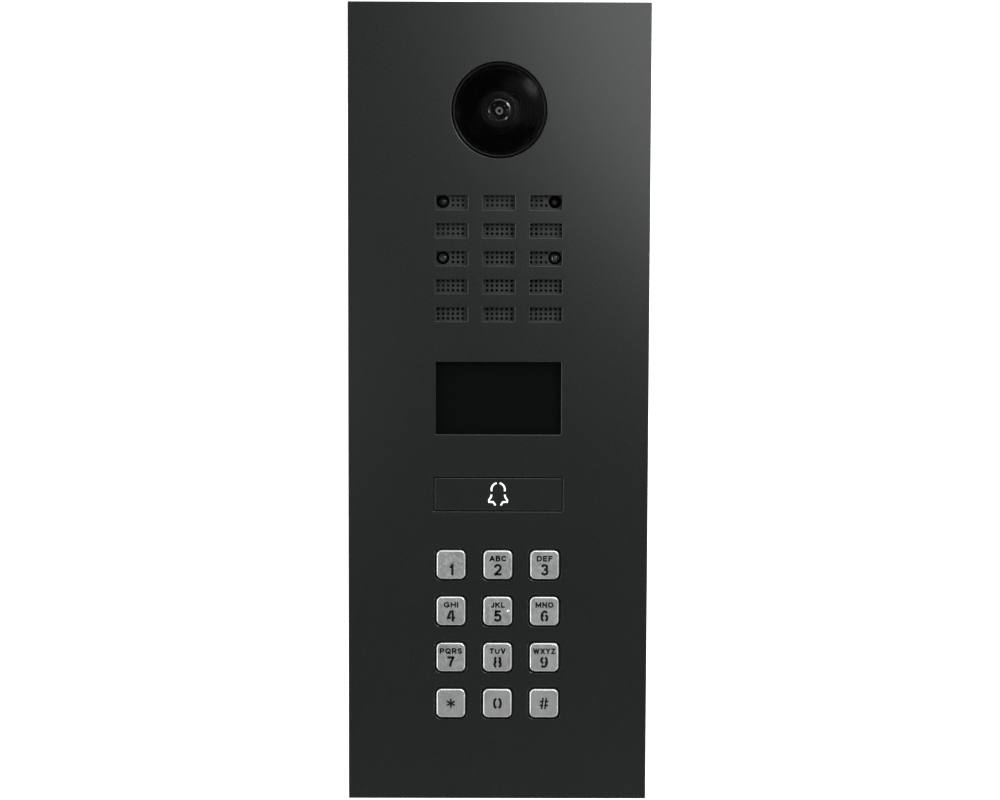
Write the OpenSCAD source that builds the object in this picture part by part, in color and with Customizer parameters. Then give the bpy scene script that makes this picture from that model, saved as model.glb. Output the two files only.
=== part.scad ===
// Door intercom panel: a flat metal front plate with a camera dome, a slotted speaker grille,
// a display window, a call button and a 3 x 4 keypad, on a shallow wall box.
// X is the width, Z is up and the front faces -Y. The wall is at y = 0.
// A depth is always the distance from the wall, so a depth of 42 lies at y = -42.

/* [Front plate] */
// Width of the front plate
plate_w = 128; // [126:1:132]
// Height of the front plate
plate_h = 340; // [338:1:346]
// Thickness of the front plate
plate_t = 3; // [2.8:0.1:3.2]
// Distance from the wall to the back of the front plate
plate_back = 42; // [41:1:50]

/* [Camera] */
// Height of the camera above the plate's centre
camera_z = 124.8; // [124:0.4:126]
// Radius of the dome where it passes through the plate
dome_r = 20; // [19:0.5:21]
// How far the dome stands out of the plate
dome_rise = 3.5; // [3.5:0.1:6]

/* [Speaker grille] */
// Height of the grille's middle row above the plate's centre
grille_z = 62.4; // [60:0.4:64]
// Distance between the columns of slots
slot_pitch_x = 20; // [19:0.5:20]
// Distance between the rows of slots
slot_pitch_z = 11.8; // [11:0.1:12]
// Width of one slot
slot_w = 13.5; // [12:0.5:14]
// Height of one slot
slot_h = 6; // [5:0.5:6.5]
// Distance between the holes of the perforated mesh, across
mesh_pitch_x = 2.08; // [2:0.04:2.6]
// Distance between the holes of the perforated mesh, up and down
mesh_pitch_z = 2; // [2:0.1:2.6]
// Radius of the holes of the perforated mesh
mesh_hole_r = 0.6; // [0.4:0.1:0.7]

/* [Display] */
// Height of the display above the plate's centre
display_z = 3.1; // [2:0.1:4]
// Width of the display window
display_w = 53.4; // [50:0.2:54]
// Height of the display window
display_h = 31; // [28:0.5:31]

/* [Call button] */
// Height of the call button, below the plate's centre
button_z = -38; // [-39:0.5:-37]
// Width of the call button
button_w = 54.2; // [50:0.2:54.2]
// Height of the call button
button_h = 13.8; // [12:0.2:14]
// Gap between the call button and the plate, all round
button_gap = 0.5; // [0.3:0.1:0.5]

/* [Keypad] */
// Distance between the keys, across and down
key_pitch = 20; // [19.5:0.5:20]
// Height of the top row of keys, below the plate's centre
keypad_top = -68.2; // [-69:0.2:-68]
// Width and height of one key
key_size = 12.4; // [12:0.1:13]
// Radius of a key's corners
key_corner = 2.3; // [1.5:0.1:2.6]
// Gap between a key and the plate, all round
key_gap = 0.8; // [0.4:0.05:0.8]
// How far a key stands out of the plate
key_rise = 1; // [0.5:0.1:1.5]

/* [Wall box] */
// Width of the wall box
box_w = 112; // [112:1:114]
// Height of the wall box
box_h = 322; // [322:1:324]
// Thickness of the box's sheet
sheet_t = 1.5; // [1.2:0.1:2]
// Distance between the wall screws, across
wall_screw_x = 80; // [60:2:84]
// Distance between the wall screws, up and down
wall_screw_z = 260; // [240:2:270]
// Radius of a wall screw hole
wall_hole_r = 2.6; // [2:0.1:3]
// Radius of the bore in a cable grommet
cable_r = 4; // [2.5:0.5:5]

/* [Hidden] */
$fn = 64;

// Colours
plate_colour = [0.17, 0.175, 0.17];
key_colour = [0.66, 0.66, 0.65];
black_plastic = [0.06, 0.06, 0.065];
black_rubber = [0.09, 0.09, 0.09];
board_green = [0.05, 0.28, 0.14];
steel = [0.62, 0.63, 0.64];
bare_aluminium = [0.75, 0.76, 0.77];

// Depths of the layers behind the plate
plate_front = plate_back + plate_t;
board_t = 1.6;
seal_t = 0.8;
frame_t = 7.2;
frame_front = plate_back - seal_t;
frame_back = frame_front - frame_t;
mesh_t = 1;
speaker_top = plate_back - mesh_t - 1;
glass_front = plate_back - 0.5;
glass_t = 1.5;
panel_t = 3;
display_board_back = glass_front - glass_t - panel_t - board_t;
flange_play = 0.1;
flange_top = plate_back - flange_play;
button_flange_t = 1.5;
button_board_back = plate_back - 6.6;
key_flange_t = 1.4;
mat_t = 1;
mat_back = plate_back - 4.5;
keypad_board_back = mat_back - board_t;
sensor_board_back = plate_back - 9;
chassis_back = plate_back - 16;
chassis_t = 2;
main_board_back = plate_back - 19.6;
cover_back = plate_back - 30;
cover_t = 2;

// Sizes of the camera's pieces
dome_wall = 1.5;
dome_edge_r = dome_r - 0.8;
dome_step = 0.8;
dome_flange_r = 23;
dome_flange_t = 2;
dome_flange_back = plate_back - 0.5 - dome_flange_t;
dome_sphere_r = (dome_edge_r * dome_edge_r + dome_rise * dome_rise) / (2 * dome_rise);
dome_centre = plate_front + dome_rise - dome_sphere_r;
bracket_t = 2;
bracket_back = dome_flange_back - bracket_t;
camera_board_size = 32;
camera_board_back = plate_back - 13.6;
camera_board_front = camera_board_back + board_t;
lens_thread_r = 6;
lens_head_r = 7.5;
lens_front = plate_front + 0.5;
lens_glass_r = 5.2;
lens_stop_r = 2.6;
lens_mount_top = bracket_back + 0.5;
shroud_r = dome_edge_r - dome_wall - 0.5;
shroud_hole_r = 9.9;

// Sizes of the speaker and of what sits beside it
mesh_size = 62;
mesh_first = [-0.77, grille_z + 0.55];
speaker_r = 20;
speaker_rim = 3.4;
magnet_r = 11;
side_x = 23.8;
upper_side_z = grille_z + 24.1;
middle_side_z = grille_z + 0.3;
side_hole_r = 2.8;
led_r = 2.5;
boot_r = 4;
capsule_r = 3;
capsule_h = 3.6;

// Sizes of the keypad
key_columns = [-key_pitch, 0, key_pitch];
keypad_middle = keypad_top - 1.5 * key_pitch;
keypad_w = 3 * key_pitch + 2;
keypad_h = 4 * key_pitch + 2;
key_flange = key_size + 3.2;
key_hole_corner = key_corner + 0.65;
dot_r = 0.6;

// Screws and their places
stud_r = 1.5;
stud_hole_r = 1.7;
nut_t = 2.4;
nut_r = 5.5 / sqrt(3);
thread_r = 1.25;
thread_clear_r = 1.4;
pan_head_r = 2.4;
pan_head_t = 1.5;
pan_length = 6;
cap_head_r = 2.75;
cap_head_t = 3;
cap_length = 12;
cap_hole_r = 1.7;
cap_recess_r = 3.1;
chassis_x = 44;
chassis_rows = [92, 24, -48, -136];
camera_stud_x = 28;
camera_stud_z = 18;
camera_screw = 13;
board_screw_x = 32;
board_screw_rows = [34, -45, -124];
cover_screw_x = 34;
cover_screw_rows = [90, -137];
lock_x = 34;
lock_depth = plate_back - 4;

// Outlines
frame_w = 122;
frame_h = 334;
frame_open_w = 104;
frame_open_h = 312;
gusset = 10;
corner_x = 47.5;
corner_z = 151.5;
chassis_w = 100;
chassis_h = 240;
chassis_z = -22;
main_w = 72;
main_h = 170;
main_z = -45;
entry_z = 70;
entry_r = 8.5;

// Network jack, terminal block and relays, on the back of the main board
jack_x = -12;
jack_z = -9.5;
jack_w = 16;
jack_h = 21;
jack_t = 13.4;
terminal_z = -100;
terminal_ways = 7;
terminal_pitch = 5;
terminal_h = 10;
terminal_t = 12;
relay_x = 18;
relay_z = 22;
relay_t = 8;

// The bell: points of its lower right half, and the arc of its crown, about the button's centre
bell_stroke = 1.1;
bell_edge = [[2.9, 0], [3.05, -1], [4.1, -2.4], [4, -3.35], [2, -3.35], [1.05, -4.8]];
crown_r = 3;
crown_z = 2.2;
crown_from = -22;
crown_to = 82;
crown_steps = 8;

// A flat outline, drawn in X and Z and given a thickness towards the front
module layer(depth, thick) {
    translate([0, -depth, 0])
        rotate([90, 0, 0])
            linear_extrude(thick)
                children();
}

// A profile of [radius, depth] points, turned about an axis that runs from the wall to the front
module lathe(x, z) {
    translate([x, 0, z])
        rotate([90, 0, 0])
            rotate_extrude()
                children();
}

module rod(x, z, depth, length, r) {
    translate([x, -depth, z])
        rotate([90, 0, 0])
            cylinder(h = length, r = r);
}

module tube(x, z, depth, length, outer, inner) {
    difference() {
        rod(x, z, depth, length, outer);
        rod(x, z, depth - 1, length + 2, inner);
    }
}

module at(x, z) {
    translate([x, z])
        children();
}

module rounded(w, h, r) {
    square([w - 2 * r, h], center = true);
    square([w, h - 2 * r], center = true);
    for (x = [-1, 1], z = [-1, 1])
        translate([x * (w / 2 - r), z * (h / 2 - r)])
            circle(r);
}

// A flat frame: an outline with a smaller one taken out of it
module ring_outline(w, h, hole_w, hole_h) {
    difference() {
        square([w, h], center = true);
        square([hole_w, hole_h], center = true);
    }
}

// A ribbon of even width along a list of points, with mitred corners and square ends
function unit(v) = v / norm(v);

function along(p, i) =
    unit((i < len(p) - 1 ? unit(p[i + 1] - p[i]) : [0, 0]) + (i > 0 ? unit(p[i] - p[i - 1]) : [0, 0]));

function beside(p, i, reach) =
    let (d = along(p, i), segment = i > 0 ? unit(p[i] - p[i - 1]) : unit(p[1] - p[0]))
    p[i] + [-d[1], d[0]] * reach / (d * segment);

module ribbon(points, width) {
    last = len(points) - 1;
    polygon(concat([for (i = [0:last]) beside(points, i, width / 2)],
        [for (i = [last:-1:0]) beside(points, i, -width / 2)]));
}

function arc(r, z, from, to, steps) =
    [for (i = [0:steps]) let (a = from + (to - from) * i / steps) [r * cos(a), z + r * sin(a)]];

module bell(width) {
    for (side = [0, 1])
        mirror([side, 0]) {
            ribbon(arc(crown_r, crown_z, crown_from, crown_to, crown_steps), width);
            ribbon(bell_edge, width);
        }
}

function slot_centres() =
    [for (i = [-1:1], j = [-2:2]) [i * slot_pitch_x, grille_z + j * slot_pitch_z]];

function side_centres() =
    [[-side_x, upper_side_z], [side_x, upper_side_z], [-side_x, middle_side_z],
     [side_x, middle_side_z]];

function camera_studs() =
    [for (x = [-1, 1], z = [-1, 1]) [x * camera_stud_x, camera_z + z * camera_stud_z]];

function chassis_studs() =
    [for (x = [-1, 1], z = chassis_rows) [x * chassis_x, z]];

function camera_screws() =
    [for (x = [-1, 1], z = [-1, 1]) [x * camera_screw, camera_z + z * camera_screw]];

function board_screws() =
    [for (x = [-1, 1], z = board_screw_rows) [x * board_screw_x, z]];

function cover_screws() =
    [for (x = [-1, 1], z = cover_screw_rows) [x * cover_screw_x, z]];

function frame_corners() =
    [for (x = [-1, 1], z = [-1, 1]) [x * corner_x, z * corner_z]];

module front_plate() {
    color(plate_colour) {
        layer(plate_back, plate_t)
            difference() {
                square([plate_w, plate_h], center = true);
                at(0, camera_z)
                    circle(dome_r + 0.25);
                for (c = slot_centres())
                    at(c[0], c[1])
                        square([slot_w, slot_h], center = true);
                at(0, display_z)
                    square([display_w, display_h], center = true);
                at(0, button_z)
                    rounded(button_w + 2 * button_gap, button_h + 2 * button_gap, 0.6);
                for (x = key_columns, row = [0:3])
                    at(x, keypad_top - row * key_pitch)
                        rounded(key_size + 2 * key_gap, key_size + 2 * key_gap,
                            key_hole_corner);
            }
        for (x = [-lock_x, lock_x]) {
            lock_block(x);
            hook(x);
        }
    }
}

// A threaded block behind the plate's lower edge, for a screw that comes up from below
module lock_block(x) {
    block = 8;
    top = 4.4 - frame_open_h / 2;
    difference() {
        translate([x - 5, -plate_back, top - 4])
            cube([10, block, block]);
        translate([x, -lock_depth, top - 5])
            cylinder(h = block + 2, r = stud_r);
    }
}

// A hook behind the plate's upper edge, which catches behind the mounting frame
module hook(x) {
    arm_z = frame_open_h / 2 - 3.5;
    back = frame_back - 2.8;
    translate([x - 5, -plate_back, arm_z])
        cube([10, plate_back - back, 3]);
    translate([x - 5, -(frame_back - 0.4), arm_z])
        cube([10, 2.4, 6.3]);
}

module plate_studs() {
    color(steel) {
        for (c = camera_studs())
            rod(c[0], c[1], plate_back - 7.5, 7.5, stud_r);
        for (c = chassis_studs())
            rod(c[0], c[1], plate_back - 19.5, 19.5, stud_r);
    }
}

module hex_nut(c, depth) {
    layer(depth, nut_t)
        translate(c)
            difference() {
                circle(nut_r, $fn = 6);
                circle(stud_r);
            }
}

module stud_nuts() {
    color(steel) {
        for (c = camera_studs())
            hex_nut(c, bracket_back - nut_t);
        for (c = chassis_studs())
            hex_nut(c, chassis_back - nut_t);
    }
}

module perimeter_seal() {
    color(black_rubber)
        layer(frame_front, seal_t)
            ring_outline(frame_w - 3, frame_h - 3, frame_w - 11, frame_h - 11);
}

module mounting_frame() {
    color(bare_aluminium)
        difference() {
            union() {
                layer(frame_back, frame_t)
                    ring_outline(frame_w, frame_h, frame_open_w, frame_open_h);
                for (x = [-1, 1], z = [-1, 1])
                    layer(frame_back, frame_t)
                        at(x * (frame_open_w - gusset) / 2, z * (frame_open_h - gusset) / 2)
                            square(gusset, center = true);
            }
            for (c = frame_corners()) {
                rod(c[0], c[1], frame_back - 1, frame_t + 2, cap_hole_r);
                rod(c[0], c[1], frame_front - cap_head_t - 0.2, cap_head_t + 1, cap_recess_r);
            }
            for (x = [-lock_x, lock_x])
                translate([x, -lock_depth, -frame_h / 2]) {
                    translate([0, 0, -1])
                        cylinder(h = 13, r = cap_hole_r);
                    translate([0, 0, -1])
                        cylinder(h = 5, r = cap_recess_r);
                }
        }
}

module backbox() {
    inner_w = box_w - 2 * sheet_t;
    inner_h = box_h - 2 * sheet_t;
    block_w = inner_w / 2 - corner_x + 4.5;
    block_h = inner_h / 2 - corner_z + 4.5;
    block_t = 10;
    color(steel) {
        layer(0, sheet_t)
            difference() {
                square([box_w, box_h], center = true);
                for (x = [-1, 1], z = [-1, 1])
                    at(x * wall_screw_x / 2, z * wall_screw_z / 2)
                        circle(wall_hole_r);
                for (z = [-entry_z, entry_z])
                    at(0, z)
                        circle(entry_r);
            }
        layer(sheet_t, frame_back - sheet_t)
            ring_outline(box_w, box_h, inner_w, inner_h);
        for (x = [-1, 1], z = [-1, 1])
            layer(frame_back - block_t, block_t)
                difference() {
                    at(x * (inner_w - block_w) / 2, z * (inner_h - block_h) / 2)
                        square([block_w, block_h], center = true);
                    at(x * corner_x, z * corner_z)
                        circle(stud_r);
                }
    }
}

module cable_grommets() {
    color(black_rubber)
        for (z = [-entry_z, entry_z])
            lathe(0, z)
                polygon([[cable_r, 0], [entry_r, 0], [entry_r, sheet_t], [entry_r + 2.5, sheet_t],
                    [entry_r + 2.5, sheet_t + 2], [cable_r, sheet_t + 2]]);
}

// A socket-head screw whose head's top is at the origin and whose shank runs along -Z
module cap_screw() {
    difference() {
        translate([0, 0, -cap_head_t])
            cylinder(h = cap_head_t, r = cap_head_r);
        translate([0, 0, -1.5])
            cylinder(h = 2, r = 1.45, $fn = 6);
    }
    translate([0, 0, -cap_head_t - cap_length])
        cylinder(h = cap_length, r = stud_r);
}

module cap_screws() {
    color(steel) {
        for (c = frame_corners())
            translate([c[0], -(frame_front - 0.2), c[1]])
                rotate([90, 0, 0])
                    cap_screw();
        for (x = [-lock_x, lock_x])
            translate([x, -lock_depth, -frame_h / 2 + 1])
                rotate([180, 0, 0])
                    cap_screw();
    }
}

// Points [radius, depth] of a sphere's cap, from its edge to its top
function cap_points(sphere_r, centre, edge_r, steps) =
    [for (i = [0:steps]) let (a = asin(edge_r / sphere_r) * (1 - i / steps))
        [sphere_r * sin(a), centre + sphere_r * cos(a)]];

module camera_dome() {
    steps = 16;
    inner_r = dome_edge_r - dome_wall;
    inner = cap_points(dome_sphere_r - dome_wall, dome_centre, inner_r, steps);
    flange_front = dome_flange_back + dome_flange_t;
    color(black_plastic)
        lathe(0, camera_z)
            polygon(concat([[inner_r, dome_flange_back],
                [dome_flange_r, dome_flange_back], [dome_flange_r, flange_front],
                [dome_r, flange_front], [dome_r, plate_front - dome_step],
                [dome_edge_r, plate_front - dome_step]],
                cap_points(dome_sphere_r, dome_centre, dome_edge_r, steps),
                [for (i = [steps:-1:0]) inner[i]]));
}

module camera_gasket() {
    color(black_rubber)
        tube(0, camera_z, plate_back - 0.5, 0.5, dome_flange_r, dome_r + 0.3);
}

module camera_shroud() {
    color(black_plastic)
        lathe(0, camera_z)
            polygon([[shroud_hole_r, dome_flange_back], [shroud_r, dome_flange_back],
                [shroud_r, plate_back + 1.3], [shroud_r - 1, plate_back + 1.3],
                [shroud_hole_r, plate_back - 1]]);
}

module lens_barrel() {
    color(black_plastic)
        lathe(0, camera_z)
            polygon([[lens_stop_r, camera_board_front + 2], [lens_thread_r, camera_board_front + 2],
                [lens_thread_r, plate_back - 1], [lens_head_r, plate_back - 1],
                [lens_head_r, lens_front], [lens_glass_r, lens_front],
                [lens_glass_r, lens_front - 2.5], [lens_stop_r, lens_front - 3.5]]);
}

module lens_front_glass() {
    rim_t = 0.8;
    sag = 1.2;
    back = lens_front - 2.5;
    curve_r = (lens_glass_r * lens_glass_r + sag * sag) / (2 * sag);
    color([0.25, 0.3, 0.45])
        lathe(0, camera_z)
            polygon(concat([[0, back], [lens_glass_r, back]],
                cap_points(curve_r, back + rim_t + sag - curve_r, lens_glass_r, 12)));
}

module lens_lock_ring() {
    color(steel)
        tube(0, camera_z, lens_mount_top, 1.5, 8.5, lens_thread_r);
}

module lens_mount() {
    color(black_plastic)
        difference() {
            union() {
                layer(camera_board_front, 3)
                    at(0, camera_z)
                        rounded(16, 16, 1);
                rod(0, camera_z, camera_board_front, lens_mount_top - camera_board_front, 8);
            }
            rod(0, camera_z, camera_board_front - 1, 12, lens_thread_r);
        }
}

module image_sensor() {
    color([0.2, 0.22, 0.3])
        layer(camera_board_front, 1)
            at(0, camera_z)
                square(8, center = true);
}

module camera_board() {
    color(board_green)
        layer(camera_board_back, board_t)
            difference() {
                at(0, camera_z)
                    rounded(camera_board_size, camera_board_size, 2);
                for (c = camera_screws())
                    translate(c)
                        circle(thread_clear_r);
            }
}

module camera_bracket() {
    post_r = 2.6;
    color(steel) {
        layer(bracket_back, bracket_t)
            difference() {
                at(0, camera_z)
                    rounded(64, 48, 4);
                at(0, camera_z)
                    circle(10.4);
                for (c = camera_studs())
                    translate(c)
                        circle(stud_hole_r);
            }
        for (c = camera_screws())
            tube(c[0], c[1], camera_board_front, bracket_back - camera_board_front, post_r,
                thread_r);
    }
}

// A mesh hole is kept where a slot of the plate shows it and no side hole cuts through it
function mesh_hole_shows(p) =
    len([for (c = slot_centres())
        if (abs(p[0] - c[0]) < slot_w / 2 && abs(p[1] - c[1]) < slot_h / 2) c]) > 0
    && len([for (c = side_centres()) if (norm(p - c) < side_hole_r + mesh_hole_r + 0.4) c]) == 0;

function mesh_holes() =
    let (steps = floor(mesh_size / 2 / mesh_pitch_z) - 1)
    [for (i = [-steps:steps], j = [-steps:steps])
        let (p = mesh_first + [i * mesh_pitch_x, j * mesh_pitch_z]) if (mesh_hole_shows(p)) p];

module speaker_mesh() {
    color([0.24, 0.245, 0.24])
        layer(plate_back - mesh_t, mesh_t)
            difference() {
                at(0, grille_z)
                    square(mesh_size, center = true);
                for (c = side_centres())
                    translate(c)
                        circle(side_hole_r);
                for (p = mesh_holes())
                    translate(p)
                        circle(mesh_hole_r, $fn = 16);
            }
}

module speaker_gasket() {
    color(black_rubber)
        tube(0, grille_z, speaker_top, 1, speaker_r, speaker_r - speaker_rim);
}

module speaker_frame() {
    top = speaker_top;
    seat = speaker_r - speaker_rim;
    color(steel)
        lathe(0, grille_z)
            polygon([[speaker_r, top], [speaker_r, top - 2], [17.8, top - 2], [11.5, top - 11],
                [11.5, top - 13], [4, top - 13], [4, top - 11], [10.4, top - 11],
                [seat, top - 1.5], [seat, top]]);
}

module speaker_cone() {
    top = speaker_top - 0.4;
    seat = speaker_r - speaker_rim;
    color([0.12, 0.12, 0.12])
        lathe(0, grille_z)
            polygon([[seat, top - 0.6], [seat, top], [seat - 2, top], [5, top - 6], [0, top - 4.4],
                [0, top - 5], [4.4, top - 6.6], [3.2, top - 6.6], [3.2, top - 11.6],
                [3.7, top - 11.6], [3.7, top - 7], [4.8, top - 7], [seat - 1.8, top - 0.6]]);
}

module speaker_magnet() {
    magnet_t = 6;
    color(steel)
        rod(0, grille_z, speaker_top - 13 - magnet_t, magnet_t, magnet_r);
}

module sensor_board() {
    color(board_green)
        layer(sensor_board_back, board_t)
            difference() {
                at(0, grille_z + 10.6)
                    square([58, 40], center = true);
                at(0, grille_z)
                    circle(speaker_r + 0.6);
            }
}

// A round lamp or sensor with a collar, a straight body and a domed tip
module lamp(x, z) {
    base = sensor_board_back + board_t;
    dome = plate_back - 0.4 - led_r;
    rod(x, z, base, 1, led_r + 0.4);
    rod(x, z, base, dome - base, led_r);
    translate([x, -dome, z])
        sphere(led_r);
}

module ir_leds() {
    color([0.35, 0.33, 0.4])
        for (x = [-side_x, side_x])
            lamp(x, middle_side_z);
}

module light_sensor() {
    color([0.3, 0.3, 0.32])
        lamp(-side_x, upper_side_z);
}

module microphone() {
    color(steel)
        rod(side_x, upper_side_z, sensor_board_back + board_t, capsule_h, capsule_r);
}

module microphone_boot() {
    base = sensor_board_back + board_t;
    top = plate_back - mesh_t;
    color(black_rubber)
        lathe(side_x, upper_side_z)
            polygon([[capsule_r, base], [boot_r, base], [boot_r, top], [1.2, top],
                [1.2, base + capsule_h], [capsule_r, base + capsule_h]]);
}

module display_gasket() {
    color(black_rubber)
        layer(glass_front, plate_back - glass_front)
            at(0, display_z)
                ring_outline(display_w + 5.6, display_h + 6, display_w + 1, display_h + 1);
}

module display_glass() {
    color(black_plastic)
        layer(glass_front - glass_t, glass_t)
            at(0, display_z)
                rounded(display_w + 5.6, display_h + 6, 1);
}

module display_panel() {
    color([0.1, 0.11, 0.13])
        layer(display_board_back + board_t, panel_t)
            at(0, display_z)
                rounded(display_w + 3.6, display_h + 4, 0.5);
}

module display_board() {
    color(board_green)
        layer(display_board_back, board_t)
            at(0, display_z)
                rounded(display_w + 6.6, display_h + 7, 1);
}

module call_button() {
    color(plate_colour)
        layer(flange_top, plate_front - flange_top)
            at(0, button_z)
                difference() {
                    rounded(button_w, button_h, 0.3);
                    bell(bell_stroke);
                }
}

// The guide's window in the carrier, and the guide's own base, which is a little smaller
guide_window = [16, 13];
guide_base = [15.6, 12.6];

module bell_light_guide() {
    color([0.93, 0.94, 0.95])
        union() {
            layer(flange_top - button_flange_t, button_flange_t)
                at(0, button_z)
                    square(guide_base, center = true);
            layer(flange_top, plate_front - flange_top)
                at(0, button_z)
                    bell(bell_stroke - 0.1);
        }
}

button_x = [-12, 12];
spring_x = [-20, 20];

module button_carrier() {
    press_gap = 0.75;
    switch_top = button_board_back + board_t + 1;
    color(black_plastic) {
        layer(flange_top - button_flange_t, button_flange_t)
            at(0, button_z)
                difference() {
                    rounded(button_w + 3.4, button_h + 3.2, 1);
                    square(guide_window, center = true);
                }
        for (x = button_x)
            rod(x, button_z, switch_top + press_gap,
                flange_top - button_flange_t - switch_top - press_gap, 2);
    }
}

module button_springs() {
    base = button_board_back + board_t;
    color(steel)
        for (x = spring_x)
            tube(x, button_z, base, flange_top - button_flange_t - base, 2.6, 2.1);
}

module button_switches() {
    color(black_plastic)
        for (x = button_x)
            layer(button_board_back + board_t, 1)
                at(x, button_z)
                    rounded(6, 6, 0.4);
}

// The board carries the small lamp that lights the bell
module button_board() {
    color(board_green) {
        layer(button_board_back, board_t)
            at(0, button_z)
                rounded(60, 16, 1);
        layer(button_board_back, board_t + 0.9)
            at(0, button_z)
                square([3.2, 2.8], center = true);
    }
}

// Columns count from 0 at the left, and rows from 0 at the top
module key(column, row, dot = false) {
    x = key_columns[column];
    z = keypad_top - row * key_pitch;
    face = plate_front + key_rise;
    color(key_colour) {
        layer(flange_top - key_flange_t, key_flange_t)
            at(x, z)
                rounded(key_flange, key_flange, 1);
        layer(flange_top, face - flange_top)
            at(x, z)
                rounded(key_size, key_size, key_corner);
        if (dot)
            rod(x + 4.5, z, face, 0.35, dot_r);
    }
}

module keypad_frame() {
    color(black_plastic)
        layer(mat_back + mat_t, plate_back - mat_back - mat_t)
            difference() {
                at(0, keypad_middle)
                    rounded(keypad_w, keypad_h, 2);
                for (x = key_columns, row = [0:3])
                    at(x, keypad_top - row * key_pitch)
                        rounded(key_flange + 0.4, key_flange + 0.4, 1.2);
            }
}

module keypad_mat() {
    top = flange_top - key_flange_t - 0.1;
    foot_r = 4.8;
    color([0.3, 0.3, 0.32]) {
        layer(mat_back, mat_t)
            difference() {
                at(0, keypad_middle)
                    rounded(keypad_w - 1, keypad_h - 1, 2);
                for (x = key_columns, row = [0:3])
                    at(x, keypad_top - row * key_pitch)
                        circle(foot_r - 0.4);
            }
        for (x = key_columns, row = [0:3])
            lathe(x, keypad_top - row * key_pitch)
                polygon([[foot_r - 0.9, mat_back], [foot_r, mat_back], [foot_r, mat_back + mat_t],
                    [foot_r - 1.4, top], [0, top], [0, top - 0.8], [foot_r - 2, top - 0.8]]);
    }
}

module keypad_board() {
    color(board_green)
        layer(keypad_board_back, board_t)
            at(0, keypad_middle)
                rounded(keypad_w - 1, keypad_h - 1, 2);
}

function board_posts() =
    [for (x = [-1, 1], p = [
        [25.5, grille_z - 6, sensor_board_back], [25.5, grille_z + 12, sensor_board_back],
        [26, display_z + 15, display_board_back], [26, display_z - 15, display_board_back],
        [26, button_z, button_board_back], [28, keypad_top + 7, keypad_board_back],
        [28, keypad_middle, keypad_board_back], [28, keypad_top - 67, keypad_board_back]])
        [x * p[0], p[1], p[2]]];

module inner_chassis() {
    chassis_front = chassis_back + chassis_t;
    color(black_plastic)
        difference() {
            union() {
                layer(chassis_back, chassis_t)
                    difference() {
                        at(0, chassis_z)
                            rounded(chassis_w, chassis_h, 4);
                        at(0, grille_z)
                            circle(magnet_r + 3);
                        at(0, -52)
                            square([40, 8], center = true);
                    }
                tube(0, grille_z, chassis_back, speaker_top - 2 - chassis_back,
                    speaker_r + 0.2, speaker_r - 2);
                for (p = board_posts())
                    rod(p[0], p[1], chassis_back, p[2] - chassis_back, 2.5);
                for (c = chassis_studs())
                    rod(c[0], c[1], chassis_back, plate_back - chassis_back, 4);
                for (c = board_screws())
                    rod(c[0], c[1], chassis_back - 2, 2 + chassis_t, 3);
                for (c = cover_screws())
                    rod(c[0], c[1], cover_back + cover_t, chassis_front - cover_back - cover_t, 3);
            }
            for (c = chassis_studs())
                rod(c[0], c[1], chassis_back - 1, plate_back, stud_hole_r);
            for (c = board_screws())
                rod(c[0], c[1], chassis_back - 3, 6, thread_r);
            for (c = cover_screws())
                rod(c[0], c[1], cover_back + cover_t - 1, 8, thread_r);
        }
}

module main_board() {
    color(board_green) {
        layer(main_board_back, board_t)
            difference() {
                at(0, main_z)
                    rounded(main_w, main_h, 2);
                for (c = board_screws())
                    translate(c)
                        circle(thread_clear_r);
            }
        layer(main_board_back - 2.4, 2.6)
            at(12, main_z - 14)
                rounded(30, 34, 1);
        layer(main_board_back - 1.2, 1.4)
            at(-20, main_z - 20)
                square(14, center = true);
    }
}

module terminal_block() {
    body_w = terminal_ways * terminal_pitch + 2;
    back = main_board_back - terminal_t;
    color([0.1, 0.4, 0.2])
        difference() {
            layer(back, terminal_t)
                at(0, terminal_z)
                    square([body_w, terminal_h], center = true);
            for (i = [0:terminal_ways - 1]) {
                x = (i - (terminal_ways - 1) / 2) * terminal_pitch;
                translate([x, -(back + 7), terminal_z - terminal_h / 2 - 1])
                    cylinder(h = 7, r = 1.4);
                rod(x, terminal_z + 1, back - 1, 3, 1.7);
            }
        }
}

module network_jack() {
    back = main_board_back - jack_t;
    color([0.5, 0.51, 0.52])
        difference() {
            layer(back, jack_t)
                at(jack_x, jack_z)
                    square([jack_w, jack_h], center = true);
            translate([jack_x - 6, -(back + 10), jack_z - jack_h / 2 - 1])
                cube([12, 8, 16]);
        }
}

module relays() {
    color([0.1, 0.2, 0.5])
        for (x = [-relay_x, relay_x])
            layer(main_board_back - relay_t, relay_t)
                at(x, relay_z)
                    square([20, 15], center = true);
}

module rear_cover() {
    color(black_plastic) {
        layer(cover_back, cover_t)
            difference() {
                at(0, chassis_z)
                    rounded(chassis_w, chassis_h, 4);
                for (c = cover_screws())
                    translate(c)
                        circle(thread_clear_r);
                at(0, terminal_z - 2)
                    square([terminal_ways * terminal_pitch + 4, terminal_h + 8], center = true);
                at(jack_x, jack_z - 17)
                    square([jack_w + 1, jack_h + 35], center = true);
            }
        layer(cover_back + cover_t, chassis_back - cover_back - cover_t)
            at(0, chassis_z)
                difference() {
                    rounded(chassis_w, chassis_h, 4);
                    rounded(chassis_w - 4, chassis_h - 4, 2);
                }
    }
}

// A pan-head screw whose head lies behind the given depth and whose shank runs to the front
module pan_screw(c, depth) {
    difference() {
        rod(c[0], c[1], depth - pan_head_t, pan_head_t, pan_head_r);
        rod(c[0], c[1], depth - pan_head_t - 1, 1.8, 0.9, $fn = 6);
    }
    rod(c[0], c[1], depth, pan_length, thread_r);
}

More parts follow.
